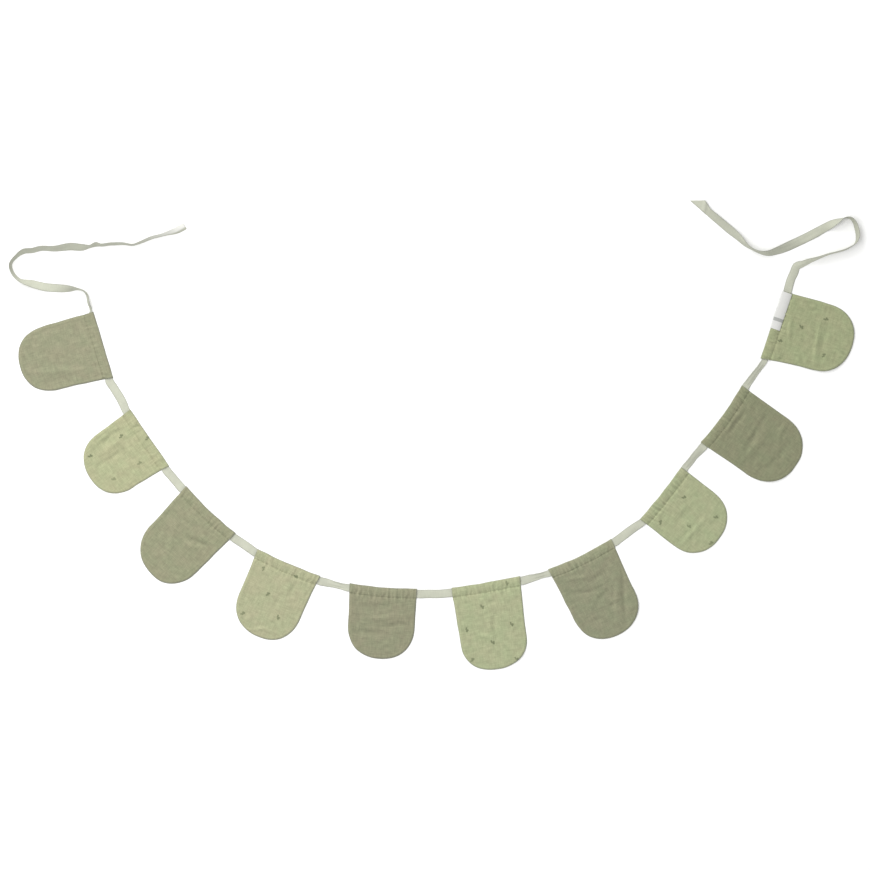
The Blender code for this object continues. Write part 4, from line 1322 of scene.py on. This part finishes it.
# The label's white satin, with rows of fine yarn, and its grey band with a coarser rib.
LABEL_WHITE = (0.57, 0.57, 0.55, 1.0)
BAND_GREY = (0.24, 0.25, 0.235, 1.0)
BAND = (72.5, 79.0)
BAND_PITCH = 1.4
BAND_SOLID = 0.75
YARN_PITCH = 0.45
YARN_HEIGHT = 0.3
SATIN_TONE = 0.12
LABEL_ROUGH = 0.55
SATIN_SIZES = (9.0, 0.8, 9.0)
label_finish, tree, shader, spot = start_material("label satin", fuzz=0.0)
split = wire(tree, "ShaderNodeSeparateXYZ", {"Vector": spot})
inside = maths(tree, "MULTIPLY", maths(tree, "GREATER_THAN", split.outputs["X"], BAND[0]),
               maths(tree, "LESS_THAN", split.outputs["X"], BAND[1]))
lines = ribs(tree, split.outputs["Y"], BAND_PITCH)
lines = maths(tree, "MULTIPLY_ADD", lines, 1 - BAND_SOLID, BAND_SOLID, clamp=True)
yarn = ribs(tree, split.outputs["X"], YARN_PITCH)
uneven = noise(tree, spot, SATIN_SIZES, detail=3.0, roughness=0.6)
satin = tinted(tree, LABEL_WHITE, centred(tree, uneven), SATIN_TONE)
woven = mixed_colour(tree, maths(tree, "MULTIPLY", inside, lines), satin, BAND_GREY)
relief = maths(tree, "MULTIPLY_ADD", yarn, YARN_HEIGHT, uneven)
end_material(tree, shader, woven, LABEL_ROUGH, relief, strength=0.3, deep=0.12)

label = label_piece(FLAGS[-1])
label.data.materials.append(label_finish)
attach(label, "root")
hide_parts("label")


# === The surface, the light and the camera ===================================================
# The bunting lies on a plain white surface, lit softly from the upper left, and is seen from
# straight above.

# One pixel of the photo, which is 870 wide, covers this much of the surface.
PIXEL = 1.8
FRAME_SIZE = 870 * PIXEL * MM
CAMERA_HEIGHT = 9.0
SENSOR = 36.0
SURFACE_SIZE = 40.0
SURFACE_DROP = 0.05
SURFACE_WHITE = (0.92, 0.92, 0.915, 1.0)
ROOM_LIGHT = 0.76

edge = SURFACE_SIZE / 2
corners = [(-edge, -edge, 0), (edge, -edge, 0), (edge, edge, 0), (-edge, edge, 0)]
floor_mesh = bpy.data.meshes.new("surface")
floor_mesh.from_pydata(corners, [], [(0, 1, 2, 3)])
floor = put("surface", floor_mesh)
floor.location.z = -SURFACE_DROP * MM
floor_finish = bpy.data.materials.new("white surface")
floor_finish.use_nodes = True
floor_shader = floor_finish.node_tree.nodes["Principled BSDF"]
floor_shader.inputs["Base Color"].default_value = SURFACE_WHITE
floor_shader.inputs["Roughness"].default_value = 0.9
floor_shader.inputs["Specular IOR Level"].default_value = 0.0
floor_mesh.materials.append(floor_finish)

world = bpy.data.worlds.new("soft room")
world.use_nodes = True
room = world.node_tree.nodes["Background"]
room.inputs["Color"].default_value = (1.0, 1.0, 1.0, 1.0)
room.inputs["Strength"].default_value = ROOM_LIGHT
bpy.context.scene.world = world

# Each lamp is a round one that faces the middle of the layout: its place and width in metres,
# and its power in watts.
Lamp = namedtuple("Lamp", "name x y z size power")
LAMPS = [
    Lamp("window", -2.0, 3.5, 2.6, 3.2, 109.5),
    Lamp("soft_box", -0.78, 0.05, 1.9, 2.0, 23.4),
]
for entry in LAMPS:
    lamp_data = bpy.data.lights.new(entry.name, "AREA")
    lamp_data.shape = "DISK"
    lamp_data.size = entry.size
    lamp_data.energy = entry.power
    lamp = put(entry.name, lamp_data)
    lamp.location = (entry.x, entry.y, entry.z)
    lamp.rotation_euler = (-lamp.location).to_track_quat("-Z", "Y").to_euler()

camera_data = bpy.data.cameras.new("camera")
camera_data.sensor_width = SENSOR
camera_data.lens = SENSOR * CAMERA_HEIGHT / FRAME_SIZE
camera_data.clip_end = 100.0
camera = put("camera", camera_data)
camera.location = (-0.5 * PIXEL * MM, 0.0, CAMERA_HEIGHT)
bpy.context.scene.camera = camera
bpy.context.scene.view_settings.view_transform = "Standard"
